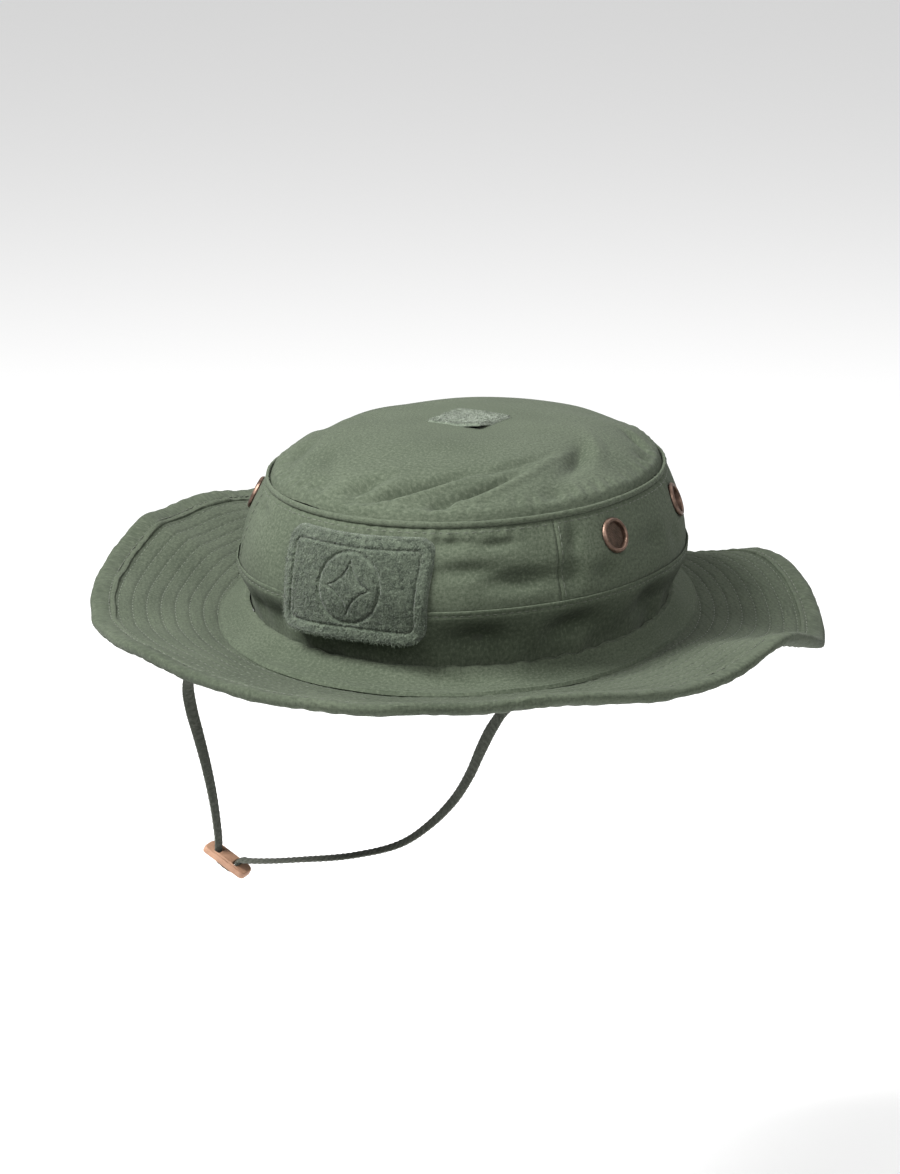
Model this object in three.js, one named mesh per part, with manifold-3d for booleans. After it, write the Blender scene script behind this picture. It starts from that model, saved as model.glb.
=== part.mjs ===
// A boonie hat: a soft round crown with four screened vents, a stitched wave-edged brim,
// two loop patches and a flat chin cord with a leather keeper.
// Millimetres, +Z up. The origin is the centre of the head opening, in the plane of the seam
// between crown and brim. The hat's front is -Y and its wearer's left is +X.
// Angles round the hat run in degrees from the front (0) through the wearer's left (90).
import * as THREE from "three";
import { mergeVertices } from "three/addons/utils/BufferGeometryUtils.js";
import Module from "manifold-3d";

const wasm = await Module();
wasm.setup();

// ---- driving dimensions ----
const BASE_FRONT = 103; // half length of the crown's base, front to back
const BASE_SIDE = 87; // half width of the crown's base
const CLOTH = 1.2; // thickness of one finished layer of cloth
const GAP = 0.3; // clearance between pieces that touch
const PANEL_GAP_DEGREES = 0.3; // the same clearance at the side band's upright seams
const CROWN_LEAN = [2.5, 2.5]; // how far the crown's top leans in X and Y, over CROWN_HEIGHT
const CROWN_HEIGHT = 80;
const TOP_SEAM_HEIGHT = 63.5; // the seam between the side band and the crown's top
const TOP_SEAM_INSET = 10; // how far that seam lies inside the base outline
const DOME_POWER = 2.5; // how late the crown's top rounds over
const BAND_TOP = 30; // the upper edge of the lower band
const NECK_HEIGHT = 8; // where the lower band tucks in above the base ring
const NECK_INSET = 4;
const BRIM_WIDTH = 62; // from the base outline to the brim's edge
const RING_SIDE = 6; // how far the flared base ring reaches outward at the sides
const RING_FRONT = 9; // and how much further it reaches at front and back
const BRIM_TOP = 1.8; // from the brim's middle surface to its upper face
const HEM_WIDTH = 10; // the binding round the brim's edge
const SWEATBAND_HEIGHT = 28;
const VENT_ANGLES = { left_front: 71, left_back: 107, right_front: -71, right_back: -107 };
const VENT_HEIGHT = 50;
const VENT_OUTER = 7.25; // radius of an eyelet's flange
const VENT_HOLE = 5.75; // radius of an eyelet's opening
const SIDE_SEAMS = [-53, 53, 127, 233]; // the upright seams between the side band's four panels
const PATCH_WIDTH = 63;
const PATCH_LOW = 19; // heights of the front patch's lower and upper edges
const PATCH_HIGH = 58.5;
const PATCH_CORNER = 8;
const PATCH_THICK = 2;
const TOP_PATCH_SIDE = 25.4;
const CORD_WIDTH = 6;
const CORD_THICK = 1.6;
const CORD_PLANE = -53; // the upright plane that the hanging chin cord lies in
const CORD_STEPS = 2; // straight steps between two points of the cord's route
const KEEPER = { length: 21.3, width: 12, thick: 2.6, x: -83.2, z: -104, slope: 29 };
const RING_STEPS = 48; // segments round a full ring
const VENT_STEPS = 16; // and round a vent

// The brim's edge rises and falls: angle round the hat and height at each crest and hollow.
const BRIM_WAVE = [
  [-98, 24.4], [-50, 9.5], [-28, 13], [2, 8.7], [41, 10.7],
  [65, 4.8], [86, 10], [112, -10.8], [138, 1.5], [172, -15], [262, 24.4],
];

// The chin cord's middle line in X and Z, from its right-hand anchor to its left-hand one. It goes
// down through the keeper's one slot, under it and up through the other.
const CORD_ROUTE = [
  [-79, -1.2], [-84.5, -1.8], [-91.5, -6.5], [-97.5, -16], [-100.5, -30], [-99.2, -40],
  [-96.1, -51], [-92.6, -64], [-89.6, -78], [-87.9, -90], [-87.3, -97], [-87.5, -101],
  [-87.3, -104], [-84.8, -106.1], [-81.8, -107.8], [-80.3, -108.2], [-78.7, -106.5], [-77.3, -103.6],
  [-74, -103.4], [-62.7, -101.8], [-48.7, -99], [-25.6, -93.8], [-2.8, -85], [10.8, -74.5],
  [21.9, -62], [28.6, -50.5], [33.5, -39], [38.5, -29], [45, -20], [54, -14.5], [66, -11.5],
  [79, -10],
];

// ---- shared form ----
const radians = (degrees) => (degrees * Math.PI) / 180;
const ease = (t) => {
  const s = Math.min(1, Math.max(0, t));
  return s * s * (3 - 2 * s);
};

function brimEdgeHeight(degrees) {
  let turned = degrees;
  while (turned < BRIM_WAVE[0][0]) turned += 360;
  while (turned >= BRIM_WAVE[0][0] + 360) turned -= 360;
  const next = BRIM_WAVE.findIndex(([angle]) => angle > turned);
  const [a, low] = BRIM_WAVE[next - 1];
  const [b, high] = BRIM_WAVE[next];
  return low + (high - low) * ease((turned - a) / (b - a));
}

// The seam between crown and brim isn't quite level.
const seamHeight = (degrees) => 1.5 - 4 * Math.cos(radians(degrees)) - 5 * Math.sin(radians(degrees));
const ringReach = (degrees) => RING_SIDE + RING_FRONT * Math.cos(radians(degrees)) ** 2;

// A point of the hat's wall: angle, distance out from the base outline, and height.
function onWall(degrees, out, height) {
  const tilt = seamHeight(degrees) * (1 - ease(height / BAND_TOP));
  const lean = height / CROWN_HEIGHT;
  return new THREE.Vector3(
    (BASE_SIDE + out) * Math.sin(radians(degrees)) + CROWN_LEAN[0] * lean,
    -(BASE_FRONT + out) * Math.cos(radians(degrees)) + CROWN_LEAN[1] * lean,
    height + tilt,
  );
}

// A point of the brim: share is 0 at the base outline and 1 at the edge.
function onBrim(degrees, share, height) {
  const rise = brimEdgeHeight(degrees) - seamHeight(degrees);
  const point = onWall(degrees, share * BRIM_WIDTH, 0);
  point.z = seamHeight(degrees) + rise * Math.max(0, share) ** 1.4 + height;
  return point;
}

const onBrimOut = (degrees, out, height) => onBrim(degrees, out / BRIM_WIDTH, height);

// A point of the crown's domed top: share is 0 at its centre and 1 at the top seam.
function onDome(degrees, share, height) {
  const inset = TOP_SEAM_INSET + 0.6;
  const rise = (CROWN_HEIGHT - TOP_SEAM_HEIGHT) * (1 - share ** DOME_POWER);
  const lean = (TOP_SEAM_HEIGHT + rise) / CROWN_HEIGHT;
  return new THREE.Vector3(
    (BASE_SIDE - inset) * share * Math.sin(radians(degrees)) + CROWN_LEAN[0] * lean,
    -(BASE_FRONT - inset) * share * Math.cos(radians(degrees)) + CROWN_LEAN[1] * lean,
    TOP_SEAM_HEIGHT + rise + height,
  );
}

// The crown's outer face: how far it stands out from the base outline at each height.
function wallOut(height) {
  if (height < BAND_TOP) return -NECK_INSET + (NECK_INSET + 2) * ease((height - NECK_HEIGHT) / 16);
  return 2 - (TOP_SEAM_INSET + 2) * ((height - BAND_TOP) / (TOP_SEAM_HEIGHT - BAND_TOP)) ** 1.8;
}

// ---- shape helpers ----
function solidOf(geometry) {
  const bare = geometry.clone();
  for (const name of Object.keys(bare.attributes)) {
    if (name !== "position") bare.deleteAttribute(name);
  }
  const merged = mergeVertices(bare, 1e-3);
  return new wasm.Manifold(
    new wasm.Mesh({
      numProp: 3,
      vertProperties: merged.attributes.position.array,
      triVerts: new Uint32Array(merged.index.array),
    }),
  );
}

function geometryOf(solid) {
  const mesh = solid.getMesh();
  return new THREE.BufferGeometry()
    .setAttribute("position", new THREE.BufferAttribute(mesh.vertProperties, 3))
    .setIndex(new THREE.BufferAttribute(mesh.triVerts, 1));
}

function warp(geometry, place) {
  const position = geometry.attributes.position;
  for (let i = 0; i < position.count; i++) {
    const p = place(position.getX(i), position.getY(i), position.getZ(i));
    position.setXYZ(i, p.x, p.y, p.z);
  }
  return geometry;
}

// A profile is a closed loop of [across, up] pairs, turned anticlockwise.
function anticlockwise(profile) {
  const area = profile.reduce((sum, [x, y], i) => {
    const [u, v] = profile[(i + 1) % profile.length];
    return sum + x * v - u * y;
  }, 0);
  return area > 0 ? profile : [...profile].reverse();
}

const LATHE_RADIUS = 500; // keeps every point of a turned profile well off the axis

// A full ring of the profile, each of its points carried to the hat by place(degrees, across, up).
function ring(profile, place, steps = RING_STEPS) {
  const loop = anticlockwise(profile);
  const points = [...loop, loop[0]].map(([x, y]) => new THREE.Vector2(LATHE_RADIUS + x, y));
  const turned = new THREE.LatheGeometry(points, steps);
  return warp(turned, (x, y, z) => {
    const degrees = THREE.MathUtils.radToDeg(Math.atan2(x, z));
    return place(degrees, Math.hypot(x, z) - LATHE_RADIUS, y);
  });
}

// A stretch of a ring between two angles, with flat ends.
function arc(profile, place, from, to, steps) {
  const outline = new THREE.Shape(profile.map(([x, y]) => new THREE.Vector2(x, y)));
  const straight = new THREE.ExtrudeGeometry(outline, { depth: to - from, steps, bevelEnabled: false });
  return warp(straight, (x, y, z) => place(to - z, x, y));
}

// The profile of a layer of the crown's wall between two heights, under its outer face by depth.
function wallProfile(low, high, depth, thick, steps) {
  const heights = Array.from({ length: steps + 1 }, (_, i) => low + ((high - low) * i) / steps);
  const outer = heights.map((h) => [wallOut(h) - depth, h]);
  const inner = heights.map((h) => [wallOut(h) - depth - thick, h]).reverse();
  return [...outer, ...inner];
}

function roundedRectangle(width, height, corner) {
  const shape = new THREE.Shape();
  const [x, y] = [width / 2, height / 2];
  shape.moveTo(-x + corner, -y);
  shape.lineTo(x - corner, -y);
  shape.absarc(x - corner, -y + corner, corner, -Math.PI / 2, 0, false);
  shape.lineTo(x, y - corner);
  shape.absarc(x - corner, y - corner, corner, 0, Math.PI / 2, false);
  shape.lineTo(-x + corner, y);
  shape.absarc(-x + corner, y - corner, corner, Math.PI / 2, Math.PI, false);
  shape.lineTo(-x, -y + corner);
  shape.absarc(-x + corner, -y + corner, corner, Math.PI, Math.PI * 1.5, false);
  return shape;
}

// ---- materials ----
const cloth = (color) => new THREE.MeshStandardMaterial({ color, roughness: 0.95, metalness: 0 });
const materials = {
  crownCloth: cloth(0x7d8574),
  brimCloth: cloth(0x6f7765),
  liningCloth: cloth(0x5b6253),
  loopPile: cloth(0x5e6859),
  cordBraid: cloth(0x5d5e58),
  label: cloth(0xb9bba8),
  leather: new THREE.MeshStandardMaterial({ color: 0xa87f62, roughness: 0.75, metalness: 0 }),
  brass: new THREE.MeshStandardMaterial({ color: 0x8c7058, roughness: 0.4, metalness: 0.9 }),
  screen: new THREE.MeshStandardMaterial({ color: 0x443e36, roughness: 0.6, metalness: 0.7 }),
};

const hat = new THREE.Group();
hat.name = "boonie_hat";

function add(name, geometry, material, group = hat) {
  const mesh = new THREE.Mesh(geometry, material);
  mesh.name = name;
  group.add(mesh);
  return mesh;
}

// ---- crown ----
function crownTop() {
  const shares = [0, 0.35, 0.6, 0.8, 0.92, 1];
  const outer = shares.map((s) => [s, 0]);
  const profile = [...outer, ...[...shares].reverse().map((s) => [s, -CLOTH])];
  const points = profile.map(([s, z]) => new THREE.Vector2(s * LATHE_RADIUS, z)).reverse();
  const turned = new THREE.LatheGeometry(points, RING_STEPS);
  return warp(turned, (x, y, z) => {
    const degrees = THREE.MathUtils.radToDeg(Math.atan2(x, z));
    return onDome(degrees, Math.hypot(x, z) / LATHE_RADIUS, y + CLOTH);
  });
}

// The raised welt that covers the seam between the top and the side band.
function topSeamWelt() {
  const low = TOP_SEAM_HEIGHT - 3;
  const out = wallOut(low) + GAP;
  return ring(
    [[out, low], [out + 1.3, low + 0.5], [out + 0.6, TOP_SEAM_HEIGHT], [out - 0.9, TOP_SEAM_HEIGHT]],
    onWall,
  );
}

function ventHole(degrees) {
  const drill = new THREE.CylinderGeometry(VENT_HOLE + 0.9, VENT_HOLE + 0.9, 12, VENT_STEPS);
  drill.applyMatrix4(ventMatrix(degrees));
  return solidOf(drill);
}

// Carries a piece modelled round the +Y axis to a vent, with +Y pointing out of the crown.
function ventMatrix(degrees) {
  const here = onWall(degrees, wallOut(VENT_HEIGHT), VENT_HEIGHT);
  const beside = onWall(degrees + 1, wallOut(VENT_HEIGHT), VENT_HEIGHT).sub(here);
  const above = onWall(degrees, wallOut(VENT_HEIGHT + 1), VENT_HEIGHT + 1).sub(here);
  const outward = beside.clone().cross(above).normalize();
  const up = above.normalize();
  return new THREE.Matrix4().makeBasis(outward.clone().cross(up), outward, up).setPosition(here);
}

function sideBands() {
  const names = ["side_band_front", "side_band_left", "side_band_back", "side_band_right"];
  const profile = wallProfile(BAND_TOP + GAP, TOP_SEAM_HEIGHT - 3 - GAP, 0, CLOTH, 4);
  names.forEach((name, i) => {
    const from = SIDE_SEAMS[i] + PANEL_GAP_DEGREES / 2;
    const to = (SIDE_SEAMS[i + 1] ?? SIDE_SEAMS[0] + 360) - PANEL_GAP_DEGREES / 2;
    let panel = solidOf(arc(profile, onWall, from, to, 12));
    for (const angle of Object.values(VENT_ANGLES)) {
      const turned = angle < from ? angle + 360 : angle;
      if (turned > from && turned < to) panel = panel.subtract(ventHole(angle));
    }
    add(name, geometryOf(panel), materials.crownCloth);
  });
}

function crown() {
  add("crown_top_panel", crownTop(), materials.crownCloth);
  add("top_seam_welt", topSeamWelt(), materials.crownCloth);
  sideBands();
  add("lower_band", ring(wallProfile(NECK_HEIGHT, BAND_TOP, 0, CLOTH, 4), onWall), materials.crownCloth);
  const tapeLow = BAND_TOP - 5;
  const tape = wallProfile(tapeLow, BAND_TOP + 5, CLOTH + GAP * 2, 0.8, 2);
  add("band_seam_tape", ring(tape, onWall), materials.liningCloth);
}

// ---- base ring and brim ----
function baseRing() {
  // share runs from 0 at the neck to 1 at the ring's outer seam, where it lies on the brim.
  const flare = (degrees, share, height) => {
    const out = -NECK_INSET + (ringReach(degrees) + NECK_INSET) * share;
    const point = onBrimOut(degrees, out, BRIM_TOP + 2 * GAP + CLOTH);
    const neck = onWall(degrees, out, NECK_HEIGHT - GAP).z;
    point.z += (neck - point.z) * Math.max(0, 1 - share) ** 1.5 + height;
    return point;
  };
  const shares = [0, 0.2, 0.5, 1];
  const profile = [...shares.map((s) => [s, 0]), ...[...shares].reverse().map((s) => [s, -CLOTH])];
  return ring(profile, flare);
}

// One ply of the brim, through the given distances out, its upper face at a height over the middle.
function brimPly(distances, height, thick) {
  const upper = distances.map((out) => [out, height]);
  const lower = distances.map((out) => [out, height - thick]).reverse();
  return ring([...upper, ...lower], onBrimOut);
}

function brim() {
  add("base_ring", baseRing(), materials.crownCloth);
  const start = BRIM_WIDTH - HEM_WIDTH;
  const edge = BRIM_WIDTH - 1.2;
  const distances = [-NECK_INSET + 1, RING_SIDE, 18, 35, start];
  const core = 0.7;
  const loft = 0.7; // the room between the core and each ply, as they wave together
  const ply = BRIM_TOP - core / 2 - loft;
  add("brim_top_ply", brimPly([...distances, edge], BRIM_TOP, ply), materials.brimCloth);
  add("brim_interlining", brimPly(distances, core / 2, core), materials.liningCloth);
  add("brim_under_ply", brimPly([...distances, edge], ply - BRIM_TOP, ply), materials.brimCloth);
  const [low, high] = [-BRIM_TOP, BRIM_TOP];
  const wrap = 2 * GAP + 0.9;
  const binding = [
    [start, high + 2 * GAP], [edge + GAP, high + 2 * GAP], [edge + GAP, low - 2 * GAP],
    [start, low - 2 * GAP],
    [start, low - wrap], [edge, low - wrap], [BRIM_WIDTH, low], [BRIM_WIDTH, high], [edge, high + wrap],
    [start, high + wrap],
  ];
  add("brim_edge_binding", ring(binding, onBrimOut), materials.brimCloth);
}

// ---- inside the crown ----
function inside() {
  const out = -NECK_INSET - CLOTH - GAP;
  const low = -1.4;
  const profile = [[out, low], [out, SWEATBAND_HEIGHT], [out - CLOTH, SWEATBAND_HEIGHT], [out - CLOTH, low]];
  add("sweatband", ring(profile, onWall), materials.liningCloth);
  const labelOut = out - CLOTH - GAP;
  const label = [[labelOut, 7], [labelOut, 22], [labelOut - 0.5, 22], [labelOut - 0.5, 7]];
  add("size_label", arc(label, onWall, 171, 189, 6), materials.label);
}

// ---- vents ----
function turnedRing(inner, outer, low, high) {
  const points = [[inner, low], [outer, low], [outer, high], [inner, high], [inner, low]];
  return new THREE.LatheGeometry(points.map(([x, y]) => new THREE.Vector2(x, y)), VENT_STEPS);
}

function eyelet() {
  const points = [
    [VENT_HOLE, -2.4], [VENT_HOLE + 0.5, -2.4], [VENT_HOLE + 0.5, 0.5], [VENT_OUTER, 0.5],
    [VENT_HOLE + 0.4, 1.4], [VENT_HOLE, -2.4],
  ];
  return new THREE.LatheGeometry(points.map(([x, y]) => new THREE.Vector2(x, y)), VENT_STEPS);
}

function vents() {
  for (const [name, degrees] of Object.entries(VENT_ANGLES)) {
    const vent = new THREE.Group();
    ventMatrix(degrees).decompose(vent.position, vent.quaternion, vent.scale);
    hat.add(vent);
    const washer = turnedRing(VENT_HOLE + 0.5 + GAP, VENT_OUTER + 0.4, -3, -2.3);
    const screen = new THREE.CylinderGeometry(VENT_HOLE - GAP, VENT_HOLE - GAP, 0.4, VENT_STEPS);
    screen.translate(0, -1, 0);
    add("vent_eyelet_" + name, eyelet(), materials.brass, vent);
    add("vent_washer_" + name, washer, materials.brass, vent);
    add("vent_screen_" + name, screen, materials.screen, vent);
  }
}

// ---- loop patches ----
function frontPatch() {
  const low = PATCH_LOW - 3;
  const high = PATCH_HIGH + 1;
  const profile = wallProfile(low, high, -2 * GAP - PATCH_THICK, PATCH_THICK, 5).map(([out, h]) => {
    // The lower edge stands off the neck, since the patch spans from the band to the base ring.
    const stand = h < BAND_TOP ? 1.7 * (1 - ease((h - low) / (BAND_TOP - low))) : 0;
    return [out + stand, h];
  });
  const wide = solidOf(arc(profile, onWall, -27, 27, 14));
  const outline = roundedRectangle(PATCH_WIDTH, PATCH_HIGH - PATCH_LOW, PATCH_CORNER);
  const cutter = new THREE.ExtrudeGeometry(outline, { depth: 80, curveSegments: 5, bevelEnabled: false });
  cutter.rotateX(Math.PI / 2);
  cutter.translate(0, -BASE_FRONT + 45, (PATCH_LOW + PATCH_HIGH) / 2 - 1);
  return geometryOf(wide.intersect(solidOf(cutter)));
}

function topPatch() {
  const outline = roundedRectangle(TOP_PATCH_SIDE, TOP_PATCH_SIDE, 1.5);
  const patch = new THREE.ExtrudeGeometry(outline, { depth: PATCH_THICK, curveSegments: 3, bevelEnabled: false });
  patch.rotateZ(radians(-8));
  return patch.translate(CROWN_LEAN[0], CROWN_LEAN[1], CROWN_HEIGHT + CLOTH + GAP);
}

// ---- chin cord ----
// The route as a curve that steps evenly from point to point, so its tight bends keep their shape.
function cordCurve() {
  const points = CORD_ROUTE.map(([x, z]) => new THREE.Vector3(x, CORD_PLANE, z));
  const curve = new THREE.CatmullRomCurve3(points, false, "centripetal");
  curve.getUtoTmapping = (share) => share;
  return curve;
}

// A flat eight-sided section swept along the route, its width running from front to back.
function cordSolid(width, thick) {
  const section = new THREE.Shape();
  for (let i = 0; i < 8; i++) {
    const angle = radians(22.5 + 45 * i);
    const x = ((width / 2) * Math.cos(angle)) / Math.cos(radians(22.5));
    const y = ((thick / 2) * Math.sin(angle)) / Math.cos(radians(22.5));
    if (i === 0) section.moveTo(x, y);
    else section.lineTo(x, y);
  }
  const steps = (CORD_ROUTE.length - 1) * CORD_STEPS;
  return new THREE.ExtrudeGeometry(section, { steps, extrudePath: cordCurve(), bevelEnabled: false });
}

function keeper() {
  const outline = roundedRectangle(KEEPER.length, KEEPER.width, 2.5);
  const tab = new THREE.ExtrudeGeometry(outline, { depth: KEEPER.thick, curveSegments: 4, bevelEnabled: false });
  tab.translate(0, 0, -KEEPER.thick / 2);
  tab.rotateY(radians(KEEPER.slope));
  tab.translate(KEEPER.x, CORD_PLANE, KEEPER.z);
  const slots = solidOf(cordSolid(CORD_WIDTH + 1.2, CORD_THICK + 1.2));
  return geometryOf(solidOf(tab).subtract(slots));
}

// A folded tab sewn into the seam under the brim, which the cord's end is stitched to.
function cordAnchor([x, z]) {
  const tab = new THREE.ExtrudeGeometry(roundedRectangle(5, 8, 1), {
    depth: CORD_THICK, curveSegments: 2, bevelEnabled: false,
  });
  tab.rotateY(Math.PI / 2);
  return tab.translate(x + 2 * GAP, CORD_PLANE, z + 0.7);
}

function chinCord() {
  add("cord_anchor_right", cordAnchor(CORD_ROUTE[0]), materials.cordBraid);
  add("cord_anchor_left", cordAnchor(CORD_ROUTE[CORD_ROUTE.length - 1]), materials.cordBraid);
  add("chin_cord", cordSolid(CORD_WIDTH, CORD_THICK), materials.cordBraid);
  add("cord_keeper", keeper(), materials.leather);
}

crown();
brim();
inside();
vents();
add("front_loop_patch", frontPatch(), materials.loopPile);
add("top_loop_patch", topPatch(), materials.loopPile);
chinCord();

export default hat;
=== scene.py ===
import math

import bpy
import numpy as np
from mathutils import Matrix, Vector


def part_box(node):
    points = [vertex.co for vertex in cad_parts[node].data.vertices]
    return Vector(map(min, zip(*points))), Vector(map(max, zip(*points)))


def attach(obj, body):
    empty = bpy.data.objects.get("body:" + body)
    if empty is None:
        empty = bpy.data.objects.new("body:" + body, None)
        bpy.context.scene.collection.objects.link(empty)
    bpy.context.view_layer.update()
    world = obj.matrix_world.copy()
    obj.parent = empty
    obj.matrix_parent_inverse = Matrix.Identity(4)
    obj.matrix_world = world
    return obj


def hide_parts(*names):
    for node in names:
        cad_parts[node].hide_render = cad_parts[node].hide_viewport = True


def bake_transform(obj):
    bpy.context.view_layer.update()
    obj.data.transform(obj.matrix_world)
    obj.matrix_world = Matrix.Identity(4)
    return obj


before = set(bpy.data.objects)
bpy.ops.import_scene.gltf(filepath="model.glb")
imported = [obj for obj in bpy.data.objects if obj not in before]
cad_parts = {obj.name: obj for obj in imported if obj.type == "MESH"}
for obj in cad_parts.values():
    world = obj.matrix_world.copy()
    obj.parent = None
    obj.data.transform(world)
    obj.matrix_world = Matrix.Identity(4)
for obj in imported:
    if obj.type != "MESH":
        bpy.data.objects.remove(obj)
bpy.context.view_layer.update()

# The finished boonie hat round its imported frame. Shapes are worked out in millimetres, with the
# frame's own axes: +Z up, the hat's front at -Y, its wearer's left at +X. Angles round the hat run
# in degrees from the front through the wearer's left.
MM = 0.001


def frame_box(node):
    low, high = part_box(node)
    return np.array(low) / MM, np.array(high) / MM


# ---- sizes, from the frame ----
BRIM_WIDTH = 62.0
brim_low, brim_high = frame_box("brim_edge_binding")
BASE_SIDE = brim_high[0] - BRIM_WIDTH
BASE_FRONT = -brim_low[1] - BRIM_WIDTH
patch_low, patch_high = frame_box("front_loop_patch")
top_low, top_high = frame_box("top_loop_patch")
TOP_CENTRE = (top_low + top_high) / 2
CROWN_HEIGHT = 80.0
CROWN_LEAN = (TOP_CENTRE[0], TOP_CENTRE[1])
TOP_SEAM = frame_box("crown_top_panel")[0][2]
TOP_SEAM_INSET = 10.0
BAND_TOP = frame_box("lower_band")[1][2]
BAND_ROW = 1.8  # from the lower band's upper edge down to its stitches
WELT_ROW = 4.6  # from the top seam down to the stitches under it
NECK_HEIGHT = 8.0
NECK_INSET = 4.0
RING_SIDE = 6.0
RING_FRONT = 9.0
HEM = 10.0
HEM_ROW = 7.9  # from the brim's edge to the binding's own stitches
ROW_PITCH = 5.8  # between two rows of the brim's stitching
BRIM_HALF = 1.7  # from the brim's middle to either face
CLOTH = 0.9
VENT_ANGLES = {"left_front": 71.0, "left_back": 107.0, "right_front": -71.0, "right_back": -107.0}
VENT_HEIGHT = 50.0
SIDE_SEAMS = (-53.0, 53.0, 127.0, 233.0)
BRIM_WAVE = np.array([
    (-98, 24.4), (-50, 9.5), (-28, 13), (2, 8.7), (41, 10.7),
    (65, 4.8), (86, 10), (112, -10.8), (138, 1.5), (172, -15), (262, 24.4),
])
CORD_WIDTH = 6.0
CORD_THICK = 1.6
CORD_PLANE = -53.0
CORD_ROUTE = [
    (-79, -1.2), (-84.5, -1.8), (-91.5, -6.5), (-97.5, -16), (-100.5, -30), (-99.2, -40),
    (-96.1, -51), (-92.6, -64), (-89.6, -78), (-87.9, -90), (-87.3, -97), (-87.5, -101),
    (-87.3, -104), (-84.8, -106.1), (-81.8, -107.8), (-80.3, -108.2), (-78.7, -106.5), (-77.3, -103.6),
    (-74, -103.4), (-62.7, -101.8), (-48.7, -99), (-25.6, -93.8), (-2.8, -85), (10.8, -74.5),
    (21.9, -62), (28.6, -50.5), (33.5, -39), (38.5, -29), (45, -20), (54, -14.5), (66, -11.5),
    (79, -10),
]


# ---- shared form, as in the frame ----
def ease(t):
    s = np.clip(t, 0, 1)
    return s * s * (3 - 2 * s)


def bump(x, middle, width):
    """A soft hill of height 1 at middle; width is its half width near the foot."""
    return np.exp(-((x - middle) / (0.55 * width)) ** 2)


def ridge(x, middle, width):
    """A narrow line of height 1 at middle."""
    return np.exp(-(((x - middle) / width) ** 2))


def turn_gap(deg, middle):
    """Degrees from middle round to deg, from -180 to 180."""
    return (np.asarray(deg) - middle + 180) % 360 - 180


def brim_edge_height(deg):
    turned = (np.asarray(deg, float) - BRIM_WAVE[0, 0]) % 360 + BRIM_WAVE[0, 0]
    i = np.clip(np.searchsorted(BRIM_WAVE[:, 0], turned, side="right") - 1, 0, len(BRIM_WAVE) - 2)
    a, low = BRIM_WAVE[i, 0], BRIM_WAVE[i, 1]
    b, high = BRIM_WAVE[i + 1, 0], BRIM_WAVE[i + 1, 1]
    return low + (high - low) * ease((turned - a) / (b - a))


def seam_height(deg):
    return 1.5 - 4 * np.cos(np.radians(deg)) - 5 * np.sin(np.radians(deg))


def ring_reach(deg):
    return RING_SIDE + RING_FRONT * np.cos(np.radians(deg)) ** 2


def on_wall(deg, out, height):
    tilt = seam_height(deg) * (1 - ease(height / BAND_TOP))
    lean = height / CROWN_HEIGHT
    x = (BASE_SIDE + out) * np.sin(np.radians(deg)) + CROWN_LEAN[0] * lean
    y = -(BASE_FRONT + out) * np.cos(np.radians(deg)) + CROWN_LEAN[1] * lean
    return np.stack(np.broadcast_arrays(x, y, height + tilt), -1)


def on_dome(deg, share, rise):
    inset = TOP_SEAM_INSET + 0.6
    height = (CROWN_HEIGHT - TOP_SEAM) * (1 - np.clip(share, 0, 1) ** 3.1)
    lean = (TOP_SEAM + height) / CROWN_HEIGHT
    x = (BASE_SIDE - inset) * share * np.sin(np.radians(deg)) + CROWN_LEAN[0] * lean
    y = -(BASE_FRONT - inset) * share * np.cos(np.radians(deg)) + CROWN_LEAN[1] * lean
    return np.stack(np.broadcast_arrays(x, y, TOP_SEAM + height + rise), -1)


def on_brim(deg, out, rise):
    share = np.maximum(0, out / BRIM_WIDTH)
    point = on_wall(deg, out, 0.0 * out)
    point[..., 2] = seam_height(deg) + (brim_edge_height(deg) - seam_height(deg)) * share**1.4 + rise
    return point


def wall_out(height):
    low = -NECK_INSET + (NECK_INSET + 2) * ease((height - NECK_HEIGHT) / 16)
    climb = np.clip((height - BAND_TOP) / (TOP_SEAM - BAND_TOP), 0, 1.2)
    high = 2 - (TOP_SEAM_INSET + 2) * climb**1.8
    return np.where(height < BAND_TOP, low, high)


# ---- soft irregularity ----
def waves(u, v, size, seed, count=9):
    """Smooth noise of unit spread: a sum of plane waves about size apart."""
    draw = np.random.default_rng(seed)
    total = 0
    for _ in range(count):
        angle, phase = draw.uniform(0, 2 * math.pi, 2)
        pitch = size * draw.uniform(0.6, 1.6)
        across = u * math.cos(angle) + v * math.sin(angle)
        total = total + np.cos(2 * math.pi * across / pitch + phase)
    return total / math.sqrt(count / 2)


def round_waves(deg, lowest, highest, seed, count=7):
    """The same round the hat: whole numbers of waves between lowest and highest, so that it closes."""
    draw = np.random.default_rng(seed)
    total = 0
    for _ in range(count):
        turns = int(draw.integers(lowest, highest + 1))
        total = total + np.cos(np.radians(deg) * turns + draw.uniform(0, 2 * math.pi))
    return total / math.sqrt(count / 2)


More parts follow.
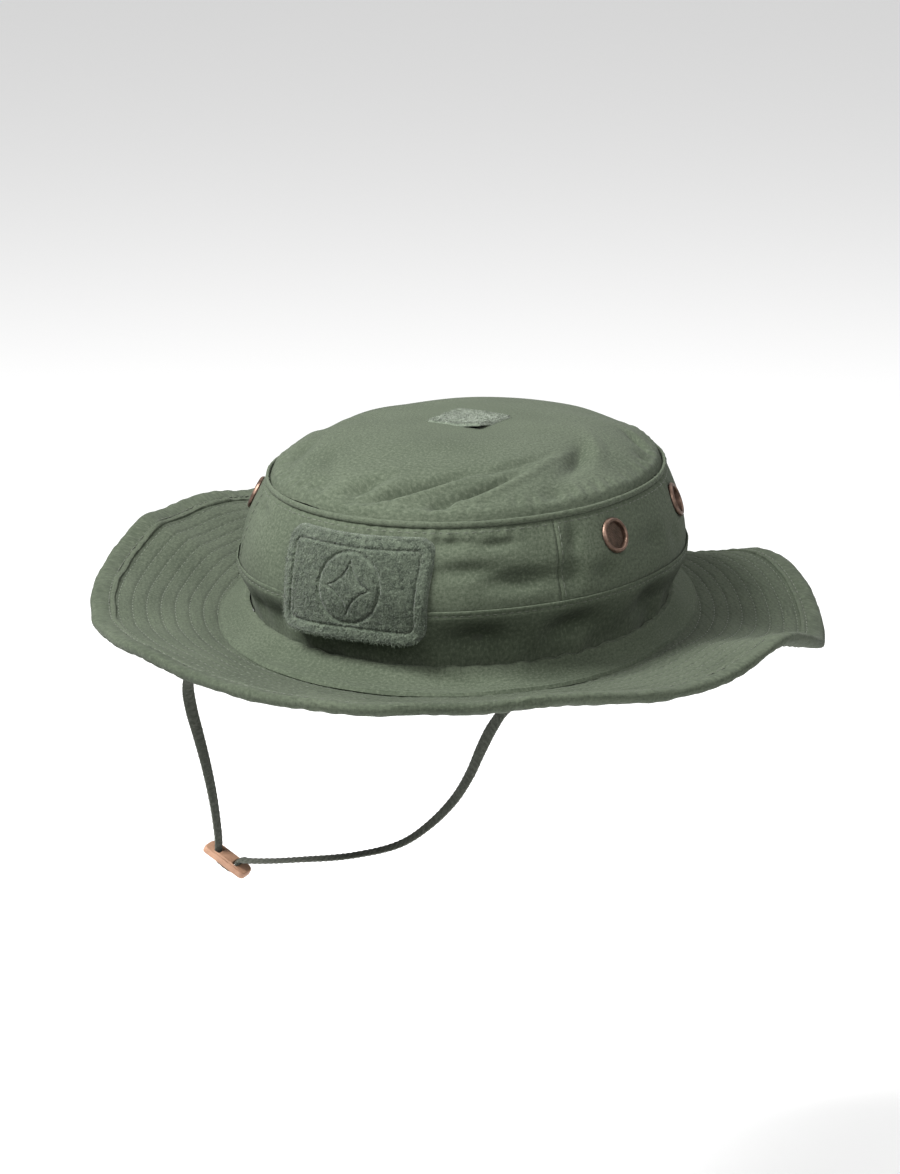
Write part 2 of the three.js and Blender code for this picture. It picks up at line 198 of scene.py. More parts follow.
# Hollows in the side band and lower band: angle, height, half widths in degrees and mm, depth.
WALL_HOLLOWS = [
    (29, 45, 11, 5, 2.6), (43, 40, 12, 6, 4.4), (56, 40, 5, 8, 3.2), (58, 52, 3, 8, 2.4),
    (66, 38, 5, 6, 2.2), (25, 55, 8, 3, 1.9), (37, 54, 7, 3, 2.0), (-44, 54, 6, 4, 1.4),
    (-60, 40, 5, 12, 1.2), (86, 43, 8, 7, 1.6), (98, 40, 5, 8, 1.4), (33, 20, 9, 7, 4.2),
    (58, 20, 9, 7, 4.4), (84, 21, 7, 8, 2.6), (-36, 18, 5, 7, 1.8), (-56, 17, 6, 7, 1.8),
    (-92, 18, 8, 8, 2.4), (118, 19, 9, 8, 2.8), (147, 18, 8, 8, 2.6), (-172, 18, 8, 7, 2.8),
    (-136, 18, 9, 8, 2.4), (150, 44, 14, 6, 2.0), (-160, 48, 16, 6, 1.8), (-112, 42, 10, 6, 1.2),
]


def wall_folds(deg, height):
    """How far the crown's wall stands out or falls in because its cloth is slack."""
    arc = np.radians(deg) * BASE_FRONT
    total = 0.3 * round_waves(deg, 5, 12, 3) * bump(height, 45, 40)
    total = total + 0.07 * waves(arc, height, 19, 5)
    for middle, level, wide, tall, depth in WALL_HOLLOWS:
        across = bump(turn_gap(deg, middle), 0, wide * 1.25)
        total = total - depth * across * bump(height, level, tall * 1.15)
    tuck = 1.6 + 0.7 * round_waves(deg, 6, 15, 13)
    total = total - tuck * bump(height, 18.5, 9) * (1 - 0.8 * bump(turn_gap(deg, 47), 0, 5))
    gathers = 0.5 * round_waves(deg, 18, 40, 11) * bump(height, NECK_HEIGHT + 3, 14)
    under_seam = 0.16 * round_waves(deg, 60, 110, 12) * bump(height, TOP_SEAM - 5, 6)
    return total + gathers + under_seam


# Dents in the crown's top: angle, share of the way out, half widths, depth in mm, slant.
DOME_DENTS = [
    (-7, 0.86, 5, 0.13, 3.6, 10), (10, 0.84, 6, 0.17, 5.2, 26), (33, 0.84, 7, 0.16, 4.8, 30),
    (21, 0.93, 4, 0.07, 2.0, 0), (76, 0.74, 10, 0.16, 4.2, 20), (116, 0.88, 5, 0.12, 3.0, 14),
    (104, 0.93, 4, 0.08, 1.6, 0), (56, 0.93, 6, 0.08, 1.8, 0), (-24, 0.92, 6, 0.08, 1.6, 0),
    (-60, 0.85, 9, 0.13, 2.6, -18), (-95, 0.88, 7, 0.11, 2.8, 12), (-130, 0.84, 9, 0.13, 3.4, -22),
    (150, 0.86, 8, 0.13, 3.6, 18), (180, 0.9, 6, 0.09, 2.2, 0), (-158, 0.9, 6, 0.09, 2.2, 10),
    (45, 0.70, 14, 0.10, 1.6, 60), (-35, 0.78, 8, 0.12, 1.6, -20),
]


def dome_folds(deg, share):
    across = share * BASE_SIDE * np.sin(np.radians(deg))
    along = share * BASE_FRONT * np.cos(np.radians(deg))
    total = 0.35 * waves(across, along, 42, 21) * share
    for middle, place, wide, deep, depth, slant in DOME_DENTS:
        gap = turn_gap(deg, middle) + slant * (share - place) / 0.2
        fade = ease((1.0 - share) / 0.05)
        total = total - 0.95 * depth * bump(gap, 0, wide * 1.35) * bump(share, place, deep) * fade
        crest = bump(gap, wide * 1.5, wide * 0.9) * bump(share, place, deep * 1.2)
        total = total + 0.25 * depth * crest * fade
    near_seam = 0.22 * round_waves(deg, 50, 90, 23) * bump(share, 0.95, 0.07)
    return total + near_seam


def brim_rows():
    """The distances out of the brim's stitch rows, from the hem inward."""
    first = BRIM_WIDTH - HEM - 1.6
    count = int((first - 2) / ROW_PITCH) + 1
    return [first - ROW_PITCH * i for i in range(count)]


# Crests and creases that cross the brim: angle, half width in degrees, height in mm, and the share
# of the way out where it dies away, or 0 where it runs on to the edge.
BRIM_CRESTS = [
    (-55, 9, 2.6, 1.1), (-73, 11, -3.0, 1.15), (-88, 6, 1.6, 0), (-22, 9, -1.5, 1.2),
    (87, 8, 2.2, 1.1), (100, 9, -2.4, 1.2), (150, 12, 1.3, 0), (-150, 14, -1.2, 0),
]


def brim_folds(deg, out):
    """Creases and crests of the whole brim, the same on both its faces."""
    share = np.clip(out / BRIM_WIDTH, 0, 1)
    total = 0.0
    for middle, wide, tall, end in BRIM_CRESTS:
        taper = share * (end - share) if end else share
        total = total + tall * bump(turn_gap(deg, middle), 0, wide) * taper
    return total + 0.35 * share * round_waves(deg, 10, 24, 31)


def quilting(deg, out):
    """The shallow grooves that the rows pull into a face, and the puckers between them."""
    total = 0.0 * out
    for row in brim_rows():
        total = total - 0.42 * ridge(out, row, 0.8)
    arc = np.radians(deg) * (BASE_SIDE + out)
    puckers = waves(arc, out * 0.35, 5.6, 33) * 0.08
    inside = ease((BRIM_WIDTH - HEM - out) / 1.5)
    return (total + puckers) * inside


# ---- mesh making ----
def offset(grid, thick, wraps):
    """The grid moved back by thick along its own normals, as turned by its rows and columns."""
    if wraps:
        along = np.roll(grid, -1, 1) - np.roll(grid, 1, 1)
    else:
        along = np.gradient(grid, axis=1)
    across = np.gradient(grid, axis=0)
    normal = np.cross(along, across)
    size = np.linalg.norm(normal, axis=-1, keepdims=True)
    return grid - thick * normal / np.maximum(size, 1e-9)


def lengths(grid, axis):
    """Running length in mm along the middle row or column of the grid."""
    line = grid[grid.shape[0] // 2] if axis == 1 else grid[:, grid.shape[1] // 2]
    steps = np.linalg.norm(np.diff(line, axis=0), axis=1)
    return np.concatenate([[0], np.cumsum(steps)])


def mesh_object(name, verts, faces, uvs=None, shade=None, sharp=40):
    """A mesh from millimetre points. uvs are per corner, in mm; shade is a 0 to 1 value per point."""
    verts = np.asarray(verts, float)
    mesh = bpy.data.meshes.new(name)
    mesh.from_pydata((verts * MM).tolist(), [], faces)
    if uvs is not None:
        layer = mesh.uv_layers.new(name="cloth_mm")
        layer.data.foreach_set("uv", np.asarray(uvs, np.float32).ravel())
    if shade is not None:
        # Stored per point for the cloth material, which paints it as wear on high places and as painted
        # shade in hollows and grooves.
        attribute = mesh.attributes.new("wear_and_shade", "FLOAT", "POINT")
        attribute.data.foreach_set("value", np.asarray(shade, np.float32).ravel())
    mesh.polygons.foreach_set("use_smooth", np.ones(len(mesh.polygons), bool))
    mesh.update()
    mesh.set_sharp_from_angle(angle=math.radians(sharp))
    piece = bpy.data.objects.new(name, mesh)
    bpy.context.scene.collection.objects.link(piece)
    return piece


def volume_of(verts, faces):
    total = 0.0
    corners = np.asarray(verts)
    quads = np.array([f for f in faces if len(f) == 4])
    for a, b, c in ((0, 1, 2), (0, 2, 3)):
        p, q, r = corners[quads[:, a]], corners[quads[:, b]], corners[quads[:, c]]
        total += np.einsum("ij,ij->i", p, np.cross(q, r)).sum()
    return total


def cloth_shell(name, face, thick, wraps, cap=False, shade=None, back=None):
    """A closed layer of cloth: its visible face as rows by columns of points, and a back behind it."""
    behind = offset(face, thick, wraps) if back is None else back
    rows, cols = face.shape[:2]
    verts = np.concatenate([face.reshape(-1, 3), behind.reshape(-1, 3)])
    second = rows * cols
    count = cols if wraps else cols - 1
    i, j = np.meshgrid(np.arange(rows - 1), np.arange(count), indexing="ij")
    k = (j + 1) % cols
    here, beyond = i * cols, (i + 1) * cols
    front = np.stack([here + j, here + k, beyond + k, beyond + j], -1).reshape(-1, 4)
    u, v = lengths(face, 1), lengths(face, 0)
    step = np.linalg.norm(face[rows // 2, 0] - face[rows // 2, -1]) if wraps else 0
    u = np.append(u, u[-1] + step)
    corner_u = np.stack([u[j], u[j + 1], u[j + 1], u[j]], -1).reshape(-1, 4)
    corner_v = np.stack([v[i], v[i], v[i + 1], v[i + 1]], -1).reshape(-1, 4)
    front_uv = np.stack([corner_u, corner_v], -1)
    faces = [front, front[:, ::-1] + second]
    uvs = [front_uv, front_uv[:, ::-1]]
    js = np.arange(count)
    ks = (js + 1) % cols
    edges = [] if cap else [(0, 1)]
    edges.append((rows - 1, -1))
    for row, way in edges:
        a, b = row * cols + js, row * cols + ks
        strip = np.stack([b, a, a + second, b + second], -1)
        faces.append(strip if way > 0 else strip[:, ::-1])
        edge_u = np.stack([u[js + 1], u[js], u[js], u[js + 1]], -1)
        uvs.append(np.stack([edge_u, np.full((count, 4), v[row])], -1))
    if not wraps:
        i1 = np.arange(rows - 1)
        for col, way in ((0, -1), (cols - 1, 1)):
            a, b = i1 * cols + col, (i1 + 1) * cols + col
            strip = np.stack([b, a, a + second, b + second], -1)
            faces.append(strip if way > 0 else strip[:, ::-1])
            edge_v = np.stack([v[i1 + 1], v[i1], v[i1], v[i1 + 1]], -1)
            uvs.append(np.stack([np.full((rows - 1, 4), u[col]), edge_v], -1))
    quads = np.concatenate(faces)
    uv = np.concatenate(uvs)
    worn_and_shaded = np.zeros(len(verts)) if shade is None else np.concatenate([shade.ravel(), shade.ravel()])
    if volume_of(verts, quads) < 0:
        quads, uv = quads[:, ::-1], uv[:, ::-1]
    faces, uv = quads.tolist(), uv.reshape(-1, 2)
    if cap:
        verts, faces, uv, worn_and_shaded = capped(verts, faces, uv, worn_and_shaded, face, behind, cols)
    return mesh_object(name, verts, faces, uv, worn_and_shaded)


def capped(verts, faces, uv, worn_and_shaded, face, behind, cols):
    """Closes the middle of a round shell with a fan on each side."""
    middles = [face[0].mean(0), behind[0].mean(0)]
    verts = np.concatenate([verts, middles])
    worn_and_shaded = np.concatenate([worn_and_shaded, [0, 0]])
    second = face.shape[0] * cols
    flip = faces[0][1] == 1
    for side, start in enumerate((0, second)):
        centre = 2 * second + side
        for j in range(cols):
            a, b = start + j, start + (j + 1) % cols
            forward = (side == 0) == flip
            faces.append([centre, b, a] if forward else [centre, a, b])
    fans = np.zeros((2 * cols * 3, 2))
    return verts, faces, np.concatenate([uv, fans]), worn_and_shaded


def dress(piece, material, slot, *stands_for, body="hat"):
    """Gives a piece its material, ties it to its body and hides the nodes it replaces. The slot argument
    is not used.
    """
    piece.data.materials.clear()
    piece.data.materials.append(material)
    if body:
        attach(piece, body)
    if stands_for:
        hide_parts(*stands_for)
    return piece


# A stitch's rings: place along it, size and lift, as shares of its length and radius.
STITCH_RINGS = (
    (-0.5, 0.25, -0.35), (-0.36, 0.8, 0.1), (0.0, 1.0, 0.4), (0.36, 0.8, 0.1), (0.5, 0.25, -0.35),
)
STITCH_SIDES = 6


def stitches(name, runs, length=2.5, pitch=3.3, radius=0.24):
    """Thread along each run: a row of points and the cloth's outward direction at each."""
    verts, faces = [], []
    for points, normals in runs:
        steps = np.linalg.norm(np.diff(points, axis=0), axis=1)
        travel = np.concatenate([[0], np.cumsum(steps)])
        count = max(1, int(travel[-1] / pitch))
        middle = (np.arange(count) + 0.5) * travel[-1] / count
        half = length / 2
        def at(s, table):
            return np.stack([np.interp(s, travel, table[:, axis]) for axis in range(3)], -1)
        centre = at(middle, points)
        start, stop = np.maximum(middle - half, 0), np.minimum(middle + half, travel[-1])
        along = at(stop, points) - at(start, points)
        along /= np.maximum(np.linalg.norm(along, axis=1, keepdims=True), 1e-9)
        up = at(middle, normals)
        side = np.cross(up, along)
        side /= np.maximum(np.linalg.norm(side, axis=1, keepdims=True), 1e-9)
        up = np.cross(along, side)
        base = sum(len(v) for v in verts)
        loops = []
        for place, size, lift in STITCH_RINGS:
            for k in range(STITCH_SIDES):
                angle = 2 * math.pi * k / STITCH_SIDES
                spread = side * math.cos(angle) + up * math.sin(angle)
                ring = centre + along * place * length + up * lift * radius
                loops.append(ring + spread * size * radius)
        block = np.stack(loops, 1)
        verts.append(block.reshape(-1, 3))
        size = len(STITCH_RINGS) * STITCH_SIDES
        pattern = []
        for r in range(len(STITCH_RINGS) - 1):
            for k in range(STITCH_SIDES):
                a, b = r * STITCH_SIDES + k, r * STITCH_SIDES + (k + 1) % STITCH_SIDES
                pattern.append([a, a + STITCH_SIDES, b + STITCH_SIDES, b])
        pattern = np.array(pattern)
        starts = base + size * np.arange(count)
        faces += (pattern[None] + starts[:, None, None]).reshape(-1, 4).tolist()
        ends = (list(range(STITCH_SIDES)), list(range(size - 1, size - 1 - STITCH_SIDES, -1)))
        for end in ends:
            faces += (np.array(end)[None] + starts[:, None]).tolist()
    return mesh_object(name, np.concatenate(verts), faces, sharp=80)


def run_along(place, lift=0.0):
    """A run for stitches(): place(shift) gives the points with the face pushed out by shift."""
    points, raised = place(lift), place(lift + 1.0)
    return points, raised - points


def rounded_box_mesh(name, size, segments=3, edge=0.3):
    """A box with rounded edges, centred on the origin, in mm."""
    signs = [(x, y, z) for x in (-1, 1) for y in (-1, 1) for z in (-1, 1)]
    verts = np.array(signs) * np.array(size) / 2
    faces = [[0, 1, 3, 2], [4, 6, 7, 5], [0, 4, 5, 1], [2, 3, 7, 6], [0, 2, 6, 4], [1, 5, 7, 3]]
    piece = mesh_object(name, verts, faces)
    bevel = piece.modifiers.new("round", "BEVEL")
    bevel.width = edge * MM
    bevel.segments = segments
    return settle(piece)


def settle(piece):
    """Applies the piece's modifiers to its mesh."""
    graph = bpy.context.evaluated_depsgraph_get()
    made = bpy.data.meshes.new_from_object(piece.evaluated_get(graph))
    piece.modifiers.clear()
    piece.data = made
    made.polygons.foreach_set("use_smooth", np.ones(len(made.polygons), bool))
    made.set_sharp_from_angle(angle=math.radians(40))
    return piece


# ---- materials ----
class Nodes:
    """A short hand for building a material's node tree."""

    def __init__(self, name):
        self.material = bpy.data.materials.new(name)
        self.material.use_nodes = True
        self.tree = self.material.node_tree
        self.shader = self.tree.nodes["Principled BSDF"]

    def add(self, kind, **inputs):
        node = self.tree.nodes.new("ShaderNode" + kind)
        for key, value in inputs.items():
            slot = key.replace("_", " ")
            if slot in node.inputs:
                self.put(node.inputs[slot], value)
            else:
                setattr(node, key, value)
        return node

    def put(self, socket, value):
        if isinstance(value, bpy.types.NodeSocket):
            self.tree.links.new(value, socket)
        elif isinstance(value, tuple) and len(value) == 3 and socket.type == "RGBA":
            socket.default_value = (*value, 1)
        else:
            socket.default_value = value

    def math(self, operation, a, b=0.0):
        node = self.tree.nodes.new("ShaderNodeMath")
        node.operation = operation
        self.put(node.inputs[0], a)
        self.put(node.inputs[1], b)
        return node.outputs[0]

    def mix(self, share, a, b):
        node = self.tree.nodes.new("ShaderNodeMix")
        node.data_type = "RGBA"
        self.put(node.inputs["Factor"], share)
        self.put(node.inputs["A"], a)
        self.put(node.inputs["B"], b)
        return node.outputs["Result"]

    def noise(self, vector, scale, detail=2.0, rough=0.5):
        node = self.add("TexNoise", Vector=vector, Scale=scale, Detail=detail, Roughness=rough)
        return node.outputs["Fac"]

    def span(self, value, low, high, to_low=0.0, to_high=1.0):
        node = self.tree.nodes.new("ShaderNodeMapRange")
        for socket, given in zip(node.inputs, (value, low, high, to_low, to_high)):
            self.put(socket, given)
        return node.outputs[0]

    def bump(self, height, strength, distance):
        node = self.add("Bump", Height=height, Strength=strength, Distance=distance)
        return node.outputs["Normal"]


def cloth_material(name, base, dark, pale, twill=0.62, fleck=0.25, bump=0.35):
    """Faded woven cloth: a twill of fine ribs, flecks of paler yarn and blotches, and from the mesh's
    point attribute paler rubbed high places and painted shade in hollows, grooves and creases.
    """
    n = Nodes(name)
    uv = n.add("TexCoord").outputs["UV"]
    solid = n.add("TexCoord").outputs["Object"]
    turned = n.add("Mapping", Vector=uv, Rotation=(0, 0, math.radians(58)))
    pitch = 1 / (6.283 * twill) * 3.14
    rib = n.add("TexWave", Vector=turned.outputs[0], Scale=pitch, Distortion=0.6, Detail=1.0)
    rib = rib.outputs["Fac"]
    yarn = n.noise(uv, 2.4, 2.0, 0.7)
    slub = n.add("Mapping", Vector=uv, Scale=(0.18, 1.4, 1))
    slub = n.noise(slub.outputs[0], 1.1, 3.0, 0.6)
    blotch = n.noise(solid, 38.0, 4.0, 0.55)
    broad = n.noise(solid, 12.0, 2.0, 0.5)
    tone = n.mix(n.span(blotch, 0.3, 0.7, 0.0, 0.55), base, dark)
    tone = n.mix(n.span(broad, 0.35, 0.75, 0.0, 0.35), tone, pale)
    tone = n.mix(n.span(yarn, 0.52, 0.78, 0.0, fleck), tone, pale)
    tone = n.mix(n.span(slub, 0.5, 0.75, 0.0, 2 * fleck), tone, dark)
    # The point attribute paints light and shade. Paler where it is positive: rubbed crests and seams, and
    # a painted highlight on the hem binding's ridge and the cord's plies. Darker where it is negative:
    # painted shade in folds, dents, stitch grooves, seam creases and behind the vent screens.
    wear_and_shade = n.add("Attribute", attribute_name="wear_and_shade").outputs["Fac"]
    tone = n.mix(n.span(wear_and_shade, 0.0, 1.0, 0.0, 0.55), tone, pale)
    tone = n.mix(n.span(wear_and_shade, 0.0, -1.0, 0.0, 0.7), tone, dark)
    heather = n.noise(uv, 0.75, 3.0, 0.7)
    tone = n.mix(n.span(heather, 0.5, 0.66, 0.0, 0.7), tone, dark)
    tone = n.mix(n.span(heather, 0.48, 0.34, 0.0, 0.5), tone, pale)
    n.put(n.shader.inputs["Base Color"], tone)
    n.put(n.shader.inputs["Roughness"], n.span(yarn, 0.3, 0.8, 0.84, 0.97))
    n.shader.inputs["Sheen Weight"].default_value = 0.03
    n.shader.inputs["Sheen Roughness"].default_value = 0.6
    n.shader.inputs["Specular IOR Level"].default_value = 0.12
    height = n.math("ADD", n.math("MULTIPLY", rib, 0.55), n.math("MULTIPLY", yarn, 0.7))
    n.put(n.shader.inputs["Normal"], n.bump(height, bump, 0.00025))
    return n.material


def thread_material(name, base, pale):
    n = Nodes(name)
    solid = n.add("TexCoord").outputs["Object"]
    tone = n.mix(n.span(n.noise(solid, 900.0, 2.0), 0.35, 0.7), base, pale)
    n.put(n.shader.inputs["Base Color"], tone)
    n.shader.inputs["Roughness"].default_value = 0.7
    n.shader.inputs["Sheen Weight"].default_value = 0.1
    return n.material


def pile_material(name, base, dark, pale):
    """Loop pile: clumped fibres, with painted shade darkening the gaps between the clumps."""
    n = Nodes(name)
    solid = n.add("TexCoord").outputs["Object"]
    clump = n.noise(solid, 420.0, 4.0, 0.7)
    fibre = n.noise(solid, 1700.0, 2.0, 0.7)
    broad = n.noise(solid, 60.0, 3.0, 0.6)
    # Painted shade: the low places between the clumps, which the bump also sinks, take the dark colour.
    tone = n.mix(n.span(clump, 0.36, 0.6), dark, base)
    tone = n.mix(n.span(fibre, 0.5, 0.72, 0.0, 0.75), tone, pale)
    tone = n.mix(n.span(broad, 0.45, 0.7, 0.0, 0.35), tone, dark)
    n.put(n.shader.inputs["Base Color"], tone)
    n.shader.inputs["Roughness"].default_value = 0.95
    n.shader.inputs["Sheen Weight"].default_value = 0.25
    n.shader.inputs["Specular IOR Level"].default_value = 0.12
    height = n.math("ADD", clump, n.math("MULTIPLY", fibre, 0.6))
    n.put(n.shader.inputs["Normal"], n.bump(height, 0.8, 0.0006))
    return n.material


def leather_material():
    """Undyed leather: a smooth tan face with darker pores."""
    n = Nodes("tan_leather")
    solid = n.add("TexCoord").outputs["Object"]
    pores = n.add("TexVoronoi", Vector=solid, Scale=1500.0).outputs["Distance"]
    cloud = n.noise(solid, 170.0, 5.0, 0.6)
    tone = n.mix(n.span(cloud, 0.3, 0.72), (0.24, 0.125, 0.075), (0.38, 0.22, 0.14))
    tone = n.mix(n.span(pores, 0.0, 0.22, 0.6, 0.0), tone, (0.20, 0.09, 0.05))
    n.put(n.shader.inputs["Base Color"], tone)
    n.put(n.shader.inputs["Roughness"], n.span(cloud, 0.3, 0.7, 0.5, 0.75))
    n.put(n.shader.inputs["Normal"], n.bump(pores, 0.35, 0.0002))
    return n.material


def metal_material(name, base, pale, rough):
    """Old brass: rubbed bright in places, browned in others."""
    n = Nodes(name)
    solid = n.add("TexCoord").outputs["Object"]
    stain = n.noise(solid, 260.0, 5.0, 0.65)
    n.put(n.shader.inputs["Base Color"], n.mix(n.span(stain, 0.35, 0.65), base, pale))
    n.put(n.shader.inputs["Roughness"], n.span(stain, 0.3, 0.7, rough, rough + 0.2))
    n.shader.inputs["Metallic"].default_value = 0.9
    n.put(n.shader.inputs["Normal"], n.bump(n.noise(solid, 1500.0, 2.0), 0.12, 0.0001))
    return n.material


def plain_material(name, base, rough):
    n = Nodes(name)
    n.shader.inputs["Base Color"].default_value = (*base, 1)
    n.shader.inputs["Roughness"].default_value = rough
    return n.material


CROWN = cloth_material(
    "crown_cloth", (0.058, 0.072, 0.048), (0.034, 0.044, 0.028), (0.104, 0.122, 0.086),
)
BRIM = cloth_material(
    "brim_cloth", (0.050, 0.062, 0.041), (0.029, 0.037, 0.024), (0.090, 0.106, 0.074), bump=0.5,
)
LINING = cloth_material(
    "lining_cloth", (0.042, 0.050, 0.035), (0.028, 0.034, 0.024), (0.066, 0.077, 0.056),
)
BRAID = cloth_material(
    "cord_braid", (0.080, 0.085, 0.070), (0.040, 0.045, 0.036), (0.140, 0.147, 0.125), fleck=0.4,
)
PILE = pile_material("loop_pile", (0.068, 0.085, 0.060), (0.028, 0.037, 0.026), (0.145, 0.168, 0.127))
PALE_PILE = pile_material(
    "pale_loop_pile", (0.125, 0.150, 0.112), (0.066, 0.083, 0.060), (0.235, 0.262, 0.206),
)
THREAD = thread_material("thread", (0.040, 0.049, 0.033), (0.090, 0.104, 0.074))
LEATHER = leather_material()
BRASS = metal_material("eyelet_brass", (0.070, 0.044, 0.032), (0.210, 0.138, 0.105), 0.36)
WIRE = metal_material("screen_wire", (0.070, 0.052, 0.040), (0.150, 0.105, 0.080), 0.45)
LABEL = cloth_material(
    "label_weave", (0.42, 0.43, 0.35), (0.34, 0.35, 0.28), (0.50, 0.51, 0.43), fleck=0.1,
)


# ---- camera and light ----
AZIMUTH, ELEVATION = 25.0, 16.0
DISTANCE = 1.6
VIEW_HEIGHT = 0.487  # how much of the upright picture's height the hat's plane fills, in metres


def studio():
    scene = bpy.context.scene
    az, el = math.radians(AZIMUTH), math.radians(ELEVATION)
    back = Vector((math.sin(az) * math.cos(el), -math.cos(az) * math.cos(el), math.sin(el)))
    right = Vector((math.cos(az), math.sin(az), 0))
    up = back.cross(right)
    target = right * -0.0046 + up * 0.0104
    camera = bpy.data.objects.new("camera", bpy.data.cameras.new("camera"))
    scene.collection.objects.link(camera)
    camera.location = target + back * DISTANCE
    camera.rotation_euler = back.to_track_quat("Z", "Y").to_euler()
    camera.data.sensor_fit = "VERTICAL"
    camera.data.sensor_height = 36
    camera.data.lens = 36 * DISTANCE / VIEW_HEIGHT
    camera.data.clip_end = 50
    scene.camera = camera
    scene.view_settings.view_transform = "Standard"

    def softbox(name, toward, away, size, watts, colour=(1, 1, 1)):
        light = bpy.data.objects.new(name, bpy.data.lights.new(name, "AREA"))
        scene.collection.objects.link(light)
        direction = Vector(toward).normalized()
        light.location = direction * away
        light.rotation_euler = direction.to_track_quat("Z", "Y").to_euler()
        light.data.size = size
        light.data.energy = watts
        light.data.color = colour

    softbox("key", (-0.65, -0.8, 1.35), 1.7, 0.6, 70)
    softbox("fill", (0.9, -0.9, 1.0), 2.2, 1.2, 20)
    softbox("top_back", (0.3, 1.0, 1.3), 2.0, 1.4, 12)
    world = bpy.data.worlds.new("studio")
    world.use_nodes = True
    world.node_tree.nodes["Background"].inputs["Color"].default_value = (1.0, 1.0, 1.0, 1)
    world.node_tree.nodes["Background"].inputs["Strength"].default_value = 0.46
    scene.world = world
    size = 30
    verts = [(-size, -size, 0), (size, -size, 0), (size, size, 0), (-size, size, 0)]
    mesh = bpy.data.meshes.new("floor")
    mesh.from_pydata(verts, [], [(0, 1, 2, 3)])
    floor = bpy.data.objects.new("floor", mesh)
    floor.location.z = -0.32
    scene.collection.objects.link(floor)
    pale = plain_material("pale_floor", (0.7, 0.7, 0.7), 0.9)
    shader = pale.node_tree.nodes["Principled BSDF"]
    shader.inputs["Emission Color"].default_value = (1, 1, 1, 1)
    shader.inputs["Emission Strength"].default_value = 0.3
    mesh.materials.append(pale)


# ---- chin cord ----
def smooth_route(points, per_step):
    """Points along a smooth curve through the given ones, with per_step of them in each stretch."""
    p = np.array(points, float)
    p = np.vstack([2 * p[0] - p[1], p, 2 * p[-1] - p[-2]])
    found = []
    for i in range(1, len(p) - 2):
        knots = [0.0]
        for a, b in zip(p[i - 1:i + 2], p[i:i + 3]):
            knots.append(knots[-1] + max(1e-6, np.linalg.norm(b - a)) ** 0.5)
        t0, t1, t2, t3 = knots
        for t in np.linspace(t1, t2, per_step, endpoint=False):
            a1 = (t1 - t) / (t1 - t0) * p[i - 1] + (t - t0) / (t1 - t0) * p[i]
            a2 = (t2 - t) / (t2 - t1) * p[i] + (t - t1) / (t2 - t1) * p[i + 1]
            a3 = (t3 - t) / (t3 - t2) * p[i + 1] + (t - t2) / (t3 - t2) * p[i + 2]
            b1 = (t2 - t) / (t2 - t0) * a1 + (t - t0) / (t2 - t0) * a2
            b2 = (t3 - t) / (t3 - t1) * a2 + (t - t1) / (t3 - t1) * a3
            found.append((t2 - t) / (t2 - t1) * b1 + (t - t1) / (t2 - t1) * b2)
    found.append(p[-2])
    return np.array(found)


# The tape's turn about its own line, in degrees, at shares of its length. At 0 its width runs along Y.
CORD_TWIST = [
    (0, 0), (0.07, -15), (0.13, 30), (0.22, 12), (0.31, 0), (0.46, 0), (0.6, 10), (0.72, 40),
    (0.84, 66), (1, 0),
]
BRAID_PITCH = 2.6


